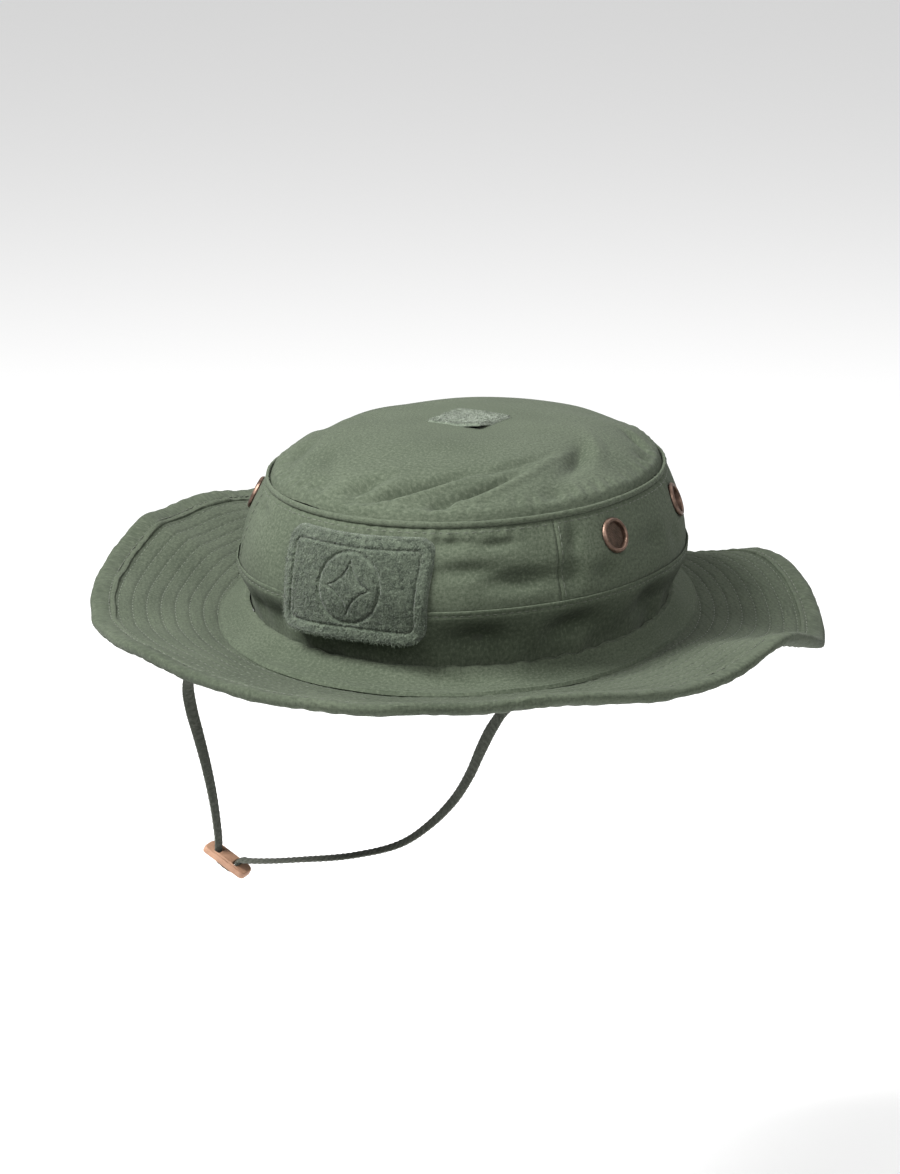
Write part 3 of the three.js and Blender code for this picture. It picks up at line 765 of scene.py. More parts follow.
def chin_cord():
    coarse = smooth_route([(x, CORD_PLANE, z) for x, z in CORD_ROUTE], 20)
    travel = np.concatenate([[0], np.cumsum(np.linalg.norm(np.diff(coarse, axis=0), axis=1))])
    total = travel[-1]
    stations = np.linspace(0, total, int(total / 0.55))
    line = np.stack([np.interp(stations, travel, coarse[:, axis]) for axis in range(3)], -1)
    line[:, 1] += 0.9 * np.sin(stations / total * math.pi * 5) * bump(stations / total, 0.7, 0.25)
    along = np.gradient(line, axis=0)
    along /= np.linalg.norm(along, axis=1, keepdims=True)
    depth = np.array([0.0, 1.0, 0.0])
    flat = np.cross(along, depth)
    flat /= np.linalg.norm(flat, axis=1, keepdims=True)
    depth = np.cross(flat, along)
    shares, angles = np.array(CORD_TWIST).T
    twist = np.radians(np.interp(stations / total, shares, angles))
    kernel = np.hanning(41) / np.hanning(41).sum()
    twist = np.convolve(np.pad(twist, 20, mode="edge"), kernel, "valid")[:, None]
    wide = depth * np.cos(twist) + flat * np.sin(twist)
    thin = flat * np.cos(twist) - depth * np.sin(twist)
    sides = 28
    rings = []
    for k in range(sides):
        angle = 2 * math.pi * k / sides
        c, s = math.cos(angle), math.sin(angle)
        w = math.copysign(abs(c) ** 0.62, c) * CORD_WIDTH / 2
        t = math.copysign(abs(s) ** 0.8, s) * CORD_THICK / 2
        lean = abs(w) * 0.9 * (1 if s > 0 else -1)
        ply = np.cos(2 * math.pi * (stations + lean) / BRAID_PITCH)
        rib = 0.13 * ply * abs(s) ** 0.5 + 0.08 * math.cos(2 * math.pi * w / 1.5) * abs(s)
        edge = 0.10 * np.cos(2 * math.pi * stations / BRAID_PITCH * 2) * abs(c) ** 4
        sideways = w * (1 + edge / 3)
        outward = t + math.copysign(1, s) * (rib - 0.1)
        rings.append(line + wide * sideways[:, None] + thin * outward[:, None])
    skin = np.stack(rings, 0)
    verts = skin.transpose(1, 0, 2).reshape(-1, 3)
    count = len(line)
    i, k = np.meshgrid(np.arange(count - 1), np.arange(sides), indexing="ij")
    m = (k + 1) % sides
    here, beyond = i * sides, (i + 1) * sides
    quads = np.stack([here + k, here + m, beyond + m, beyond + k], -1).reshape(-1, 4)
    u = np.stack([k, k + 1, k + 1, k], -1).reshape(-1) * (2 * (CORD_WIDTH + CORD_THICK) / sides)
    v = np.stack([stations[i], stations[i], stations[i + 1], stations[i + 1]], -1).reshape(-1)
    if volume_of(verts, quads) < 0:
        quads = quads[:, ::-1]
        u, v = u.reshape(-1, 4)[:, ::-1].ravel(), v.reshape(-1, 4)[:, ::-1].ravel()
    faces = quads.tolist()
    first, last = list(range(sides)), list(range((count - 1) * sides, count * sides))
    if faces[0].index(0) + 1 < 4 and faces[0][faces[0].index(0) + 1] == 1:
        first = first[::-1]
    else:
        last = last[::-1]
    faces += [first, last]
    uvs = np.concatenate([np.stack([u, v], -1), np.zeros((2 * sides, 2))])
    # Paler on the braid's ply crests and darker between them along its pitch: painted highlight and shade.
    worn_and_shaded = np.tile(0.3 * np.cos(2 * math.pi * stations / BRAID_PITCH)[:, None], (1, sides))
    cord = mesh_object("chin_cord_braid", verts, faces, uvs, worn_and_shaded.ravel(), sharp=70)
    dress(cord, BRAID, "cord_braid", "chin_cord", body=None)
    return cord, line, total


KEEPER_LENGTH, KEEPER_WIDTH, KEEPER_THICK = 21.3, 9.6, 2.8


def oblong(length, width, corner, steps=8):
    """An outline with round corners, as points."""
    found = []
    for x, y, start in ((1, -1, -90), (1, 1, 0), (-1, 1, 90), (-1, -1, 180)):
        for k in range(steps + 1):
            angle = math.radians(start + 90 * k / steps)
            found.append((x * (length / 2 - corner) + corner * math.cos(angle),
                          y * (width / 2 - corner) + corner * math.sin(angle)))
    return found


def keeper():
    """The leather tab, with a slot near each end for the cord."""
    curve = bpy.data.curves.new("keeper", "CURVE")
    curve.dimensions = "2D"
    curve.fill_mode = "BOTH"
    curve.extrude = (KEEPER_THICK / 2 - 0.5) * MM
    curve.bevel_depth = 0.5 * MM
    curve.bevel_resolution = 3
    outlines = [(oblong(KEEPER_LENGTH - 1, KEEPER_WIDTH - 1, 2.2), 0.0)]
    outlines += [(oblong(3.4, 6.8, 1.3), place) for place in (-4.9, 4.6)]
    for outline, place in outlines:
        spline = curve.splines.new("POLY")
        spline.points.add(len(outline) - 1)
        spline.use_cyclic_u = True
        for point, (x, y) in zip(spline.points, outline):
            point.co = ((x + place) * MM, y * MM, 0, 1)
    holder = bpy.data.objects.new("keeper_outline", curve)
    bpy.context.scene.collection.objects.link(holder)
    graph = bpy.context.evaluated_depsgraph_get()
    mesh = bpy.data.meshes.new_from_object(holder.evaluated_get(graph))
    bpy.data.objects.remove(holder)
    low, high = frame_box("cord_keeper")
    slope = math.radians(29)
    bend = np.array([v.co for v in mesh.vertices])
    bend[:, 2] += -0.9 * MM * (bend[:, 0] / (KEEPER_LENGTH / 2 * MM)) ** 2 + 0.4 * MM
    x = bend[:, 0] * math.cos(slope) + bend[:, 2] * math.sin(slope)
    z = -bend[:, 0] * math.sin(slope) + bend[:, 2] * math.cos(slope)
    centre = (low + high) / 2 * MM
    places = np.stack([x, bend[:, 1], z], -1) + centre
    mesh.vertices.foreach_set("co", places.astype(np.float32).ravel())
    mesh.polygons.foreach_set("use_smooth", np.ones(len(mesh.polygons), bool))
    mesh.update()
    mesh.set_sharp_from_angle(angle=math.radians(35))
    tab = bpy.data.objects.new("leather_keeper", mesh)
    bpy.context.scene.collection.objects.link(tab)
    return dress(tab, LEATHER, "keeper_leather", "cord_keeper", body="keeper")


def anchors():
    """The folded tabs that hold the cord's ends."""
    for side in ("right", "left"):
        low, high = frame_box("cord_anchor_" + side)
        centre, size = (low + high) / 2, high - low
        tab = rounded_box_mesh("anchor_tab_" + side, (2.2, size[1], size[2] + 1.5), 3, 0.6)
        tab.data.transform(Matrix.Translation(Vector((centre + (0, 0, 0.75)) * MM)))
        dress(tab, BRAID, "cord_braid", "cord_anchor_" + side)


# ---- crown ----
AROUND = np.arange(0, 360, 0.6)  # the angles of the columns in a piece that runs all round


def wall_face(deg, height, proud=0.0):
    return on_wall(deg, wall_out(height) + wall_folds(deg, height) + proud, height)


def crown_top():
    shares = np.concatenate([np.linspace(0.04, 0.6, 40), np.linspace(0.61, 1.0, 66)])
    deg, share = np.meshgrid(AROUND, shares)
    folds = dome_folds(deg, share)
    roll = -2.6 * ease((share - 0.975) / 0.03)
    face = on_dome(deg, share, folds + roll + 1.0)
    # Paler on the dome's crests and darker in its dents: the darkening is painted shade.
    worn_and_shaded = np.clip(folds * 0.16, -0.5, 0.5)
    piece = cloth_shell("crown_top_cloth", face, CLOTH, True, cap=True, shade=worn_and_shaded)
    dress(piece, CROWN, "crown_cloth", "crown_top_panel")


def top_welt():
    """The rolled seam round the crown's top."""
    turns = np.linspace(0, 2 * math.pi, 14, endpoint=False)
    deg, turn = np.meshgrid(AROUND, turns)
    middle = TOP_SEAM - 1.7
    out = wall_out(np.array(middle)) + 0.35 + wall_folds(deg, middle + 0 * deg) * 0.6
    swell = 1 + 0.12 * round_waves(deg, 70, 130, 41)
    out = out + 0.85 * np.cos(turn) * swell
    height = middle + 1.35 * np.sin(turn)
    face = on_wall(deg, out, height)
    rolled = ring_tube("top_seam_roll", face)
    dress(rolled, CROWN, "crown_cloth", "top_seam_welt")


def ring_tube(name, face):
    """A closed tube round the hat, its section in rows and its way round in columns."""
    rows, cols = face.shape[:2]
    i, j = np.meshgrid(np.arange(rows), np.arange(cols), indexing="ij")
    a, b = (i + 1) % rows, (j + 1) % cols
    quads = np.stack([i * cols + j, i * cols + b, a * cols + b, a * cols + j], -1).reshape(-1, 4)
    verts = face.reshape(-1, 3)
    u = np.append(lengths(face, 1), 0)
    u[-1] = u[-2] + np.linalg.norm(face[0, 0] - face[0, -1])
    corner_u = np.stack([u[j], u[j + 1], u[j + 1], u[j]], -1).reshape(-1)
    corner_v = np.stack([i, i, i + 1, i + 1], -1).reshape(-1) * 0.9
    if volume_of(verts, quads) < 0:
        quads = quads[:, ::-1]
        corner_u, corner_v = (c.reshape(-1, 4)[:, ::-1].ravel() for c in (corner_u, corner_v))
    uvs = np.stack([corner_u, corner_v], -1)
    return mesh_object(name, verts, quads.tolist(), uvs, np.full(len(verts), 0.35))


def vent_dish(face):
    """1 where the cloth lies behind a vent's screen, and 0 beyond its eyelet."""
    total = 0.0
    for vent in VENT_ANGLES.values():
        centre = on_wall(vent, wall_out(np.array(VENT_HEIGHT)), VENT_HEIGHT)
        away = np.linalg.norm(face - centre, axis=-1)
        total = total + 1 - ease((away - 5.6) / 1.2)
    return total


def side_bands():
    """The four panels, each turned in along its upright edges."""
    names = ("front", "left", "back", "right")
    ends = SIDE_SEAMS + (SIDE_SEAMS[0] + 360,)
    low, high = BAND_TOP - 2.5, TOP_SEAM - 1.2
    for k, name in enumerate(names):
        start, stop = ends[k] - 0.3, ends[k + 1] + 0.3
        turns = np.linspace(start, stop, int((stop - start) / 0.55))
        deg, height = np.meshgrid(turns, np.linspace(low, high, 56))
        from_edge = np.minimum(deg - start, stop - deg) * 1.6
        turned_in = -1.0 * ridge(from_edge, 0, 0.55) + 0.35 * ridge(from_edge, 1.6, 1.0)
        under_welt = -0.9 * ease((height - (TOP_SEAM - 4.5)) / 2.5)
        behind_vents = vent_dish(wall_face(deg, height))
        face = wall_face(deg, height, turned_in + under_welt - 2.9 * behind_vents)
        # Painted shade: darker in the wall's hollows and behind the vent screens. The folds' crests are
        # paler.
        worn_and_shaded = np.clip(wall_folds(deg, height) * 0.22, -0.8, 0.5) - behind_vents
        piece = cloth_shell("side_cloth_" + name, face, CLOTH, False, shade=worn_and_shaded)
        dress(piece, CROWN, "crown_cloth", "side_band_" + name)


def lower_band():
    folded_edge = BAND_TOP + np.array([-0.6, -0.2, 0.1, 0.25])
    heights = np.concatenate([np.linspace(5.5, BAND_TOP - 1, 50), folded_edge])
    deg, height = np.meshgrid(AROUND, heights)
    proud = 1.15 * ease((height - 22) / 6) - 0.5 * ease((height - BAND_TOP) / 0.3)
    groove = -0.3 * ridge(height, BAND_TOP - BAND_ROW, 0.5)
    face = wall_face(deg, height, proud + groove)
    # Darker in the band's hollows and tuck, a painted shade, and paler on its crests.
    worn_and_shaded = np.clip(wall_folds(deg, height) * 0.2, -1.0, 0.4)
    piece = cloth_shell("lower_band_cloth", face, CLOTH, True, shade=worn_and_shaded)
    dress(piece, CROWN, "crown_cloth", "lower_band")


def seam_tape():
    deg, height = np.meshgrid(AROUND[::2], np.linspace(BAND_TOP - 5, BAND_TOP + 5, 12))
    face = on_wall(deg, wall_out(height) + wall_folds(deg, height) - 2.4, height)
    piece = cloth_shell("band_seam_tape_cloth", face, 0.6, True)
    dress(piece, LINING, "lining_cloth", "band_seam_tape")


def ring_point(deg, share, proud=0.0):
    """The collar's face, from its lip at the neck (share 0) to its seam on the brim (share 1)."""
    reach = ring_reach(deg)
    out = -NECK_INSET + 1.5 + (reach + NECK_INSET - 1.5) * share
    base = on_brim(deg, out, BRIM_HALF + 0.9)
    neck = on_wall(deg, out, NECK_HEIGHT + 1.2 + 0 * deg)[..., 2]
    fade = np.maximum(0, 1 - share) ** 1.6
    slack = 0.9 * round_waves(deg, 7, 16, 51) * share * (1 - share) * 2.2
    gathers = 0.2 * round_waves(deg, 26, 60, 52) * ridge(share, 0, 0.25)
    base[..., 2] += (neck - base[..., 2]) * fade + slack + gathers + proud
    base[..., 2] += brim_folds(deg, out) * ease(share)
    return base


def base_ring():
    shares = np.concatenate([[-0.06, -0.03], np.linspace(0, 1, 34)])
    deg, share = np.meshgrid(AROUND, shares)
    lip = -2.2 * ease(-share / 0.06)
    seam_dip = -1.3 * ease((share - 0.93) / 0.07)
    stitch = -0.25 * ridge(share, 0.9, 0.03)
    face = ring_point(deg, np.maximum(share, 0), lip + seam_dip + stitch)
    # Paler along the lip and darker into the seam on the brim: the darkening is painted shade in that
    # crease.
    worn_and_shaded = 0.35 * ridge(share, 0, 0.12) - 0.3 * ease((share - 0.95) / 0.05)
    piece = cloth_shell("base_ring_cloth", face, CLOTH, True, shade=worn_and_shaded)
    dress(piece, CROWN, "crown_cloth", "base_ring")


# ---- brim ----
def brim_face(deg, out, side, proud=0.0):
    """A point of the brim's upper (side 1) or under (side -1) face."""
    rise = brim_folds(deg, out) + side * (BRIM_HALF + quilting(deg, out) + proud)
    return on_brim(deg, out, rise)


def brim_plies():
    outs = np.arange(-2.5, BRIM_WIDTH - 2.0, 0.55)
    turns = np.arange(0, 360, 0.45)
    deg, out = np.meshgrid(turns, outs)
    plies = (("brim_upper_cloth", 1, "brim_top_ply"), ("brim_under_cloth", -1, "brim_under_ply"))
    for name, side, node in plies:
        face = brim_face(deg, out, side)
        back = on_brim(deg, out, brim_folds(deg, out) + side * 0.45)
        # Painted shade darkens the stitch grooves and puckers. Over that, the brim is slightly paler
        # overall and has random tone.
        worn_and_shaded = np.clip(quilting(deg, out) * 1.1 + 0.12, -0.6, 0.3)
        worn_and_shaded = worn_and_shaded + 0.12 * waves(out, np.radians(deg) * 120, 26, 61)
        piece = cloth_shell(name, face, 1.0, True, shade=worn_and_shaded, back=back)
        dress(piece, BRIM, "brim_cloth", node)
    deg, out = np.meshgrid(turns[::3], outs[:-6:3])
    core = on_brim(deg, out, brim_folds(deg, out) + 0.3)
    back = on_brim(deg, out, brim_folds(deg, out) - 0.3)
    piece = cloth_shell("brim_core", core, 0.6, True, back=back)
    dress(piece, LINING, "lining_cloth", "brim_interlining")


HEM_SECTION = (
    # Distance out and height over the brim's middle, round the binding from its upper inner edge.
    (-10.2, 1.75), (-10.0, 2.5), (-9.3, 2.75), (-8.6, 2.6), (-7.9, 2.25), (-7.2, 2.45), (-5.0, 2.6),
    (-2.6, 2.45), (-1.1, 1.9), (-0.25, 1.0), (0.0, 0.0), (-0.25, -1.0), (-1.1, -1.9), (-2.6, -2.45),
    (-5.0, -2.6), (-7.2, -2.45), (-7.9, -2.25), (-8.6, -2.6), (-9.3, -2.75), (-10.0, -2.5),
    (-10.2, -1.75), (-9.0, -1.8), (-3.0, -1.8), (-2.0, 0.0), (-3.0, 1.8), (-9.0, 1.8),
)


def hem():
    turns = np.arange(0, 360, 0.6)
    section = np.array(HEM_SECTION)
    deg, k = np.meshgrid(turns, np.arange(len(section)))
    out = BRIM_WIDTH + section[k, 0] + 0.12 * round_waves(deg, 20, 46, 71) - 0.2
    twist = 0.16 * waves(np.radians(deg) * 150, section[k, 0] * 0.5, 11, 73)
    rise = section[k, 1] + twist * np.sign(section[k, 1])
    face = on_brim(deg, out, rise + brim_folds(deg, np.minimum(out, BRIM_WIDTH)))
    piece = ring_tube("brim_hem_binding", face)
    # A painted highlight: a paler line along the top of the binding's ridge on both faces. The binding is
    # slightly paler overall and has random tone.
    worn_and_shaded = np.where(np.abs(section[k, 0] + 9.3) < 0.8, 0.55, 0.1) + 0.1 * round_waves(deg, 9, 30, 74)
    piece.data.attributes["wear_and_shade"].data.foreach_set("value", worn_and_shaded.astype(np.float32).ravel())
    dress(piece, BRIM, "brim_cloth", "brim_edge_binding")


def closed_turns(step):
    return np.append(np.arange(0, 360, step), 360.0)


def sewing():
    """Every row of thread that shows."""
    turns = closed_turns(1.0)
    for name, side in (("brim_upper_stitching", 1), ("brim_under_stitching", -1)):
        runs = []
        for row in brim_rows():
            out = row + 0 * turns
            runs.append(run_along(lambda s: brim_face(turns, out, side, s - 0.12)))
        thread = stitches(name, runs)
        dress(thread, THREAD, "brim_cloth")
    runs = []
    for side in (1, -1):
        out = BRIM_WIDTH - HEM_ROW + 0 * turns
        rise = brim_folds(turns, out)
        runs.append(run_along(lambda s, k=side: on_brim(turns, out, rise + k * (2.3 + s))))
    dress(stitches("hem_stitching", runs), THREAD, "brim_cloth")
    runs = [run_along(lambda s: ring_point(turns, 0.9 + 0 * turns, s - 0.2))]
    band = BAND_TOP - BAND_ROW + 0 * turns
    runs.append(run_along(lambda s: wall_face(turns, band, s + 0.8)))
    welt = TOP_SEAM - WELT_ROW + 0 * turns
    runs.append(run_along(lambda s: wall_face(turns, welt, s - 0.15)))
    for angle in SIDE_SEAMS:
        height = np.linspace(BAND_TOP + 1, TOP_SEAM - 5, 40)
        deg = angle + 1.2 + 0 * height
        runs.append(run_along(lambda s, d=deg, h=height: wall_face(d, h, s + 0.2)))
    dress(stitches("crown_stitching", runs), THREAD, "crown_cloth")


# ---- inside the crown ----
SWEATBAND_LOW, SWEATBAND_TOP = -1.4, 28.0
SWEATBAND_ROWS = (3.2, SWEATBAND_TOP - 2.5)


def sweatband():
    deg, height = np.meshgrid(AROUND, np.linspace(SWEATBAND_LOW, SWEATBAND_TOP, 36))
    out = -NECK_INSET - 1.6 - 0.35 * bump(height, 13, 16) + 0.12 * round_waves(deg, 24, 60, 81)
    groove = sum(0.3 * ridge(height, row, 0.6) for row in SWEATBAND_ROWS)
    back = on_wall(deg, out, height)
    face = on_wall(deg, out - 1.2 + groove, height)
    piece = cloth_shell("sweatband_cloth", face, 1.0, True, back=back)
    dress(piece, LINING, "lining_cloth", "sweatband")
    turns = closed_turns(1.0)
    runs = []
    for level in SWEATBAND_ROWS:
        level = level + 0 * turns
        runs.append(run_along(lambda s, z=level: on_wall(turns, -NECK_INSET - 2.75 - s, z)))
    dress(stitches("sweatband_stitching", runs), THREAD, "lining_cloth")


def size_label():
    deg, height = np.meshgrid(np.linspace(171, 189, 40), np.linspace(7, 22, 30))
    out = -NECK_INSET - 3.5 + 0.15 * waves(deg * 1.6, height, 9, 91)
    piece = cloth_shell("blank_label", on_wall(deg, out, height), 0.35, False)
    dress(piece, LABEL, "label", "size_label")
    path = oblong(16, 13, 0.8, 4)
    points = np.array(path + path[:1])
    turned = 180 + points[:, 0] / 1.62
    run = run_along(lambda s: on_wall(turned, -NECK_INSET - 3.85 - s, 14.5 + points[:, 1]))
    dress(stitches("label_stitching", [run], 1.5, 2.1, 0.16), THREAD, "label")


# ---- vents ----
def vent_axes(deg):
    """A vent's centre, and its across, up and outward directions."""
    here = on_wall(deg, wall_out(np.array(VENT_HEIGHT)), VENT_HEIGHT)
    beside = on_wall(deg + 1, wall_out(np.array(VENT_HEIGHT)), VENT_HEIGHT) - here
    above = on_wall(deg, wall_out(np.array(VENT_HEIGHT + 1)), VENT_HEIGHT + 1) - here
    outward = np.cross(beside, above)
    outward /= np.linalg.norm(outward)
    up = above / np.linalg.norm(above)
    return here, np.cross(up, outward), up, outward


EYELET_SECTION = (
    (5.45, -2.2), (5.45, 0.9), (5.55, 1.25), (5.8, 1.5), (6.15, 1.6), (6.5, 1.5), (6.85, 1.2),
    (7.15, 0.75), (7.25, 0.35), (6.7, 0.35), (6.2, 0.4), (6.1, -2.2),
)
WASHER_SECTION = ((6.5, -2.4), (7.5, -2.5), (7.65, -2.75), (7.5, -3.05), (6.5, -3.1))


def turned_ring(name, section, axes, steps=64):
    here, across, up, outward = axes
    section = np.array(section)
    turn, k = np.meshgrid(np.arange(steps) * 2 * math.pi / steps, np.arange(len(section)))
    radial = np.cos(turn)[..., None] * across + np.sin(turn)[..., None] * up
    face = here + radial * section[k, 0][..., None] + outward * section[k, 1][..., None]
    return ring_tube(name, face)


def wire_screen(name, axes):
    """Woven wires across the vent's opening."""
    here, across, up, outward = axes
    radius, pitch, wire = 5.45, 0.62, 0.25
    verts, faces = [], []
    count = int(radius / pitch)
    for way, (run, step) in enumerate(((across, up), (up, across))):
        for n in range(-count, count + 1):
            aside = n * pitch
            half = math.sqrt(max(radius**2 - aside**2, 0.1))
            s = np.linspace(-half, half, max(8, int(half * 6)))
            sway = 0.17 * np.cos(math.pi * s / pitch + math.pi * (n + way))
            line = here + run * s[:, None] + step * aside + outward * (sway - 0.85)[:, None]
            base = sum(len(v) for v in verts)
            ring = []
            for k in range(6):
                angle = math.pi * k / 3
                ring.append(line + wire * (step * math.cos(angle) + outward * math.sin(angle)))
            block = np.stack(ring, 1)
            verts.append(block.reshape(-1, 3))
            for i in range(len(s) - 1):
                for k in range(6):
                    a, b = base + i * 6 + k, base + i * 6 + (k + 1) % 6
                    faces.append([a, b, b + 6, a + 6])
            faces.append([base + k for k in range(5, -1, -1)])
            faces.append([base + (len(s) - 1) * 6 + k for k in range(6)])
    return mesh_object(name, np.concatenate(verts), faces, sharp=80)


def vents():
    for name, deg in VENT_ANGLES.items():
        axes = vent_axes(deg)
        eyelet = turned_ring("eyelet_" + name, EYELET_SECTION, axes)
        dress(eyelet, BRASS, "eyelet_brass", "vent_eyelet_" + name)
        washer = turned_ring("washer_" + name, WASHER_SECTION, axes)
        dress(washer, BRASS, "eyelet_brass", "vent_washer_" + name)
        screen = wire_screen("screen_" + name, axes)
        dress(screen, WIRE, "vent_screen", "vent_screen_" + name)


# ---- loop patches ----
def rounded_grid(width, height, corner, step):
    """Points covering a rectangle with round corners, as rows by columns of x and y."""
    across = np.linspace(-width / 2, width / 2, int(width / step))
    x, y = np.meshgrid(across, np.linspace(-height / 2, height / 2, int(height / step)))
    cx, cy = width / 2 - corner, height / 2 - corner
    dx, dy = np.clip((np.abs(x) - cx) / corner, 0, 1), np.clip((np.abs(y) - cy) / corner, 0, 1)
    in_corner = (dx > 0) & (dy > 0)
    rx = np.sign(x) * (cx + corner * dx * np.sqrt(1 - dy**2 / 2))
    ry = np.sign(y) * (cy + corner * dy * np.sqrt(1 - dx**2 / 2))
    return np.where(in_corner, rx, x), np.where(in_corner, ry, y)


def edge_distance(x, y, width, height, corner):
    """How far inside a rounded rectangle each point lies."""
    qx, qy = np.abs(x) - (width / 2 - corner), np.abs(y) - (height / 2 - corner)
    outside = np.hypot(np.maximum(qx, 0), np.maximum(qy, 0))
    return corner - outside - np.minimum(np.maximum(qx, qy), 0)


def emblem(x, y):
    """A plain pressed mark: a ring round a four-pointed star. 1 on its lines and 0 off them."""
    r = np.hypot(x, y)
    ring = ridge(r, 13.5, 0.75)
    reach = (np.abs(x) ** 0.62 + np.abs(y) ** 0.62) ** (1 / 0.62)
    star = ridge(reach, 11.0, 1.2)
    return np.clip(ring + star, 0, 1)


PATCH_WIDTH, PATCH_CORNER = 63.0, 7.0
PATCH_BASE = 0.9  # from the crown's wall to the patch's back
PATCH_BORDER = 4.6  # from the patch's edge in to its border stitches


def front_patch_place(x, y, proud):
    """Carries the flat patch to the crown's front."""
    middle = (patch_low[2] + patch_high[2]) / 2
    height = middle + y
    out = wall_out(np.maximum(height, 26)) + PATCH_BASE
    stand = 2.6 * ease((28 - height) / 20) ** 1.2
    belly = 0.9 * bump(x, 4, 40) * bump(y, -8, 18) - 0.7 * bump(x, 28, 14) * bump(y, 10, 16)
    ripple = 0.5 * waves(x, y, 34, 101)
    total = out + stand + belly + ripple + proud
    lean = CROWN_LEAN[0] * height / CROWN_HEIGHT
    deg = np.degrees(np.arcsin(np.clip((x - lean) / (BASE_SIDE + total), -1, 1)))
    return on_wall(deg, total, height)


def pile_relief(x, y, seed):
    """The uneven height of loop pile."""
    loops = 0.09 * waves(x, y, 1.4, seed, 14)
    clumps = 0.07 * waves(x, y, 3.4, seed + 1, 10)
    fibres = 0.07 * waves(x, y, 0.9, seed + 2, 12)
    return loops + clumps + fibres


def fuzz(name, place, points, length, count_seed):
    """Short curled fibres standing on a face. place(x, y, proud) carries flat points to the face."""
    draw = np.random.default_rng(count_seed)
    x, y = points
    tall = length * draw.uniform(0.5, 1.2, len(x))
    lean = draw.uniform(0, 2 * math.pi, len(x))
    sides, rings = 3, ((0.0, 0.0, 1.0), (0.45, 0.55, 0.9), (0.55, 1.15, 0.35))
    spin = draw.uniform(0, 2 * math.pi, len(x))
    loops = []
    for rise, sway, size in rings:
        for k in range(sides):
            angle = spin + 2 * math.pi * k / sides
            px = x + np.cos(lean) * sway * tall + 0.075 * size * np.cos(angle)
            py = y + np.sin(lean) * sway * tall + 0.075 * size * np.sin(angle)
            loops.append(place(px, py, rise * tall + 0.1))
    block = np.stack(loops, 1)
    faces = []
    for r in range(len(rings) - 1):
        for k in range(sides):
            a, b = r * sides + k, r * sides + (k + 1) % sides
            faces.append([a, b, b + sides, a + sides])
    size = sides * len(rings)
    starts = size * np.arange(len(x))
    quads = (np.array(faces)[None] + starts[:, None, None]).reshape(-1, 4).tolist()
    ends = (np.array([2, 1, 0])[None] + starts[:, None]).tolist()
    ends += (np.array([size - 3, size - 2, size - 1])[None] + starts[:, None]).tolist()
    return mesh_object(name, block.reshape(-1, 3), quads + ends, sharp=80)


def scatter(width, height, corner, count, seed):
    draw = np.random.default_rng(seed)
    x = draw.uniform(-width / 2, width / 2, count)
    y = draw.uniform(-height / 2, height / 2, count)
    keep = edge_distance(x, y, width, height, corner) > 0.2
    return x[keep], y[keep]


def front_patch():
    height = patch_high[2] - patch_low[2]
    size = (PATCH_WIDTH, height, PATCH_CORNER)
    x, y = rounded_grid(*size, 0.42)
    inside = edge_distance(x, y, *size)
    rounded = -1.5 * (1 - ease(inside / 1.4)) ** 2
    border = -0.85 * ridge(inside, PATCH_BORDER, 0.55)
    rim = 0.25 * ridge(inside, 2.2, 1.6)
    mark = -1.1 * emblem(x, y)
    relief = pile_relief(x, y, 103) * ease(inside / 1.5)
    face = front_patch_place(x, y, 1.7 + relief + border + rim + mark + rounded)
    back = front_patch_place(x, y, 0.0 * x)
    worn_and_shaded = np.clip(0.9 * (border + mark) + 0.4 * relief + 0.25 * rim, -1, 0.6)
    piece = cloth_shell("front_patch_pile", face, 1.5, False, shade=worn_and_shaded, back=back)
    dress(piece, PILE, "loop_pile", "front_loop_patch")
    px, py = scatter(*size, 16000, 107)
    keep = (emblem(px, py) < 0.3) & (np.abs(edge_distance(px, py, *size) - PATCH_BORDER) > 0.7)
    px, py = px[keep], py[keep]
    hairs = fuzz("front_patch_fuzz", lambda a, b, s: front_patch_place(a, b, 1.6 + s), (px, py), 0.75, 109)
    dress(hairs, PILE, "loop_pile")
    trim = 2 * PATCH_BORDER
    outline = np.array(oblong(PATCH_WIDTH - trim, height - trim, PATCH_CORNER - 3.5, 8))
    outline = np.vstack([outline, outline[:1]])
    run = run_along(lambda s: front_patch_place(outline[:, 0], outline[:, 1], 1.0 + s))
    dress(stitches("front_patch_stitching", [run], 2.2, 2.9, 0.22), THREAD, "loop_pile")


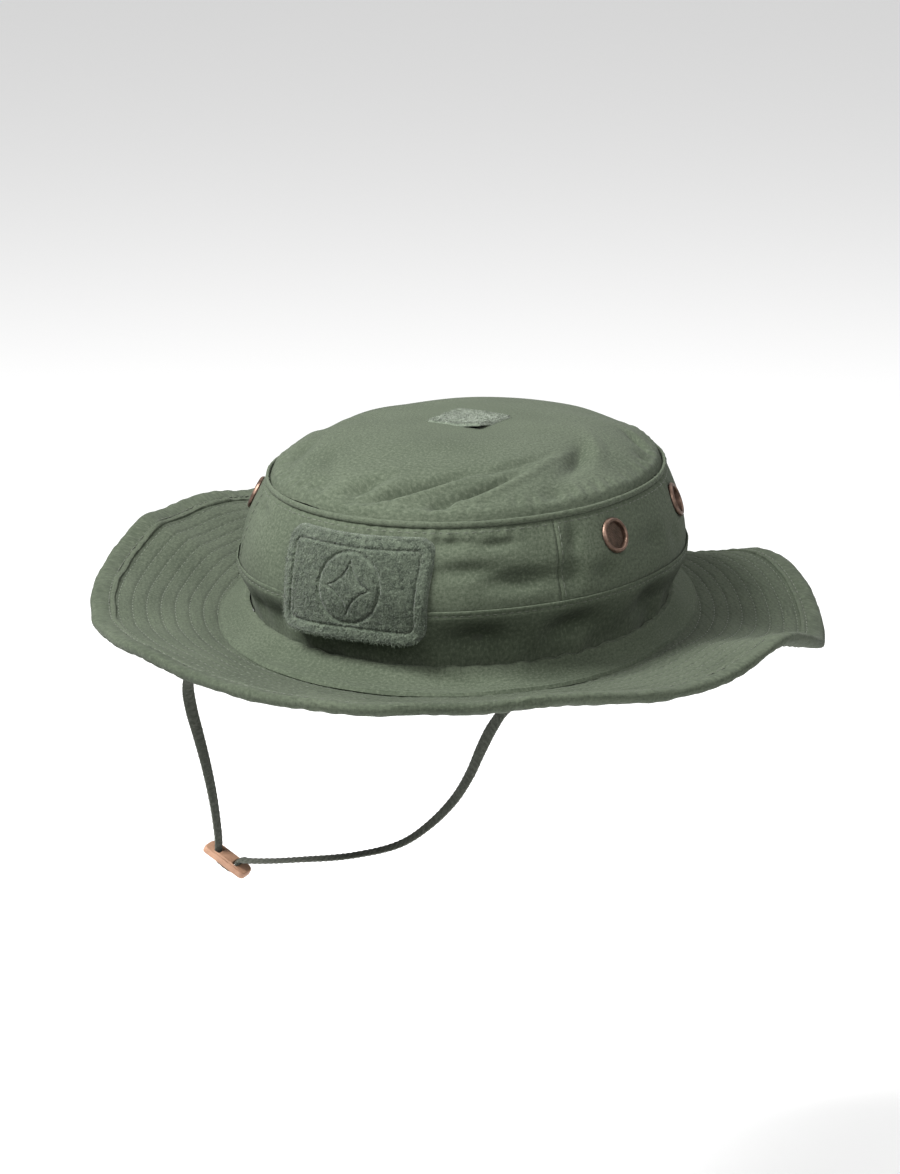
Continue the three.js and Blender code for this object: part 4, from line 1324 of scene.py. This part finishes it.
TOP_PATCH = 25.4
TOP_BORDER = 2.4  # from its edge in to its border stitches


def top_patch_place(x, y, proud):
    """Carries the flat square to the crown's top, with one corner curling up."""
    turn = math.radians(-8)
    px = x * math.cos(turn) - y * math.sin(turn)
    py = x * math.sin(turn) + y * math.cos(turn)
    curl = 1.9 * ease((x - y - 8) / 18) ** 2
    drop = -0.0016 * (px**2 + py**2)
    return np.stack([px + TOP_CENTRE[0], py + TOP_CENTRE[1], top_low[2] + drop + curl + proud], -1)


def top_patch():
    size = (TOP_PATCH, TOP_PATCH, 1.4)
    x, y = rounded_grid(*size, 0.36)
    inside = edge_distance(x, y, *size)
    rounded = -1.0 * (1 - ease(inside / 1.1)) ** 2
    border = -0.5 * ridge(inside, TOP_BORDER, 0.45)
    relief = pile_relief(x, y, 113) * ease(inside / 1.2) * 0.8
    face = top_patch_place(x, y, 1.5 + relief + border + rounded)
    back = top_patch_place(x, y, 0.15 + 0 * x)
    worn_and_shaded = np.clip(border + 0.4 * relief + 0.5, -1, 1)
    piece = cloth_shell("top_patch_pile", face, 1.2, False, shade=worn_and_shaded, back=back)
    dress(piece, PALE_PILE, "loop_pile", "top_loop_patch")
    px, py = scatter(*size, 3000, 117)
    hairs = fuzz("top_patch_fuzz", lambda a, b, s: top_patch_place(a, b, 1.4 + s), (px, py), 0.6, 119)
    dress(hairs, PALE_PILE, "loop_pile")
    outline = np.array(oblong(TOP_PATCH - 2 * TOP_BORDER, TOP_PATCH - 2 * TOP_BORDER, 0.8, 3))
    outline = np.vstack([outline, outline[:1]])
    run = run_along(lambda s: top_patch_place(outline[:, 0], outline[:, 1], 1.15 + s))
    dress(stitches("top_patch_stitching", [run], 2.0, 2.7, 0.2), THREAD, "loop_pile")


# ---- the hat ----
studio()
cord, cord_line, cord_length = chin_cord()
tab = keeper()
anchors()
crown_top()
top_welt()
side_bands()
lower_band()
seam_tape()
base_ring()
brim_plies()
hem()
sweatband()
size_label()
vents()
front_patch()
top_patch()
sewing()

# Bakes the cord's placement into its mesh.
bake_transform(cord)
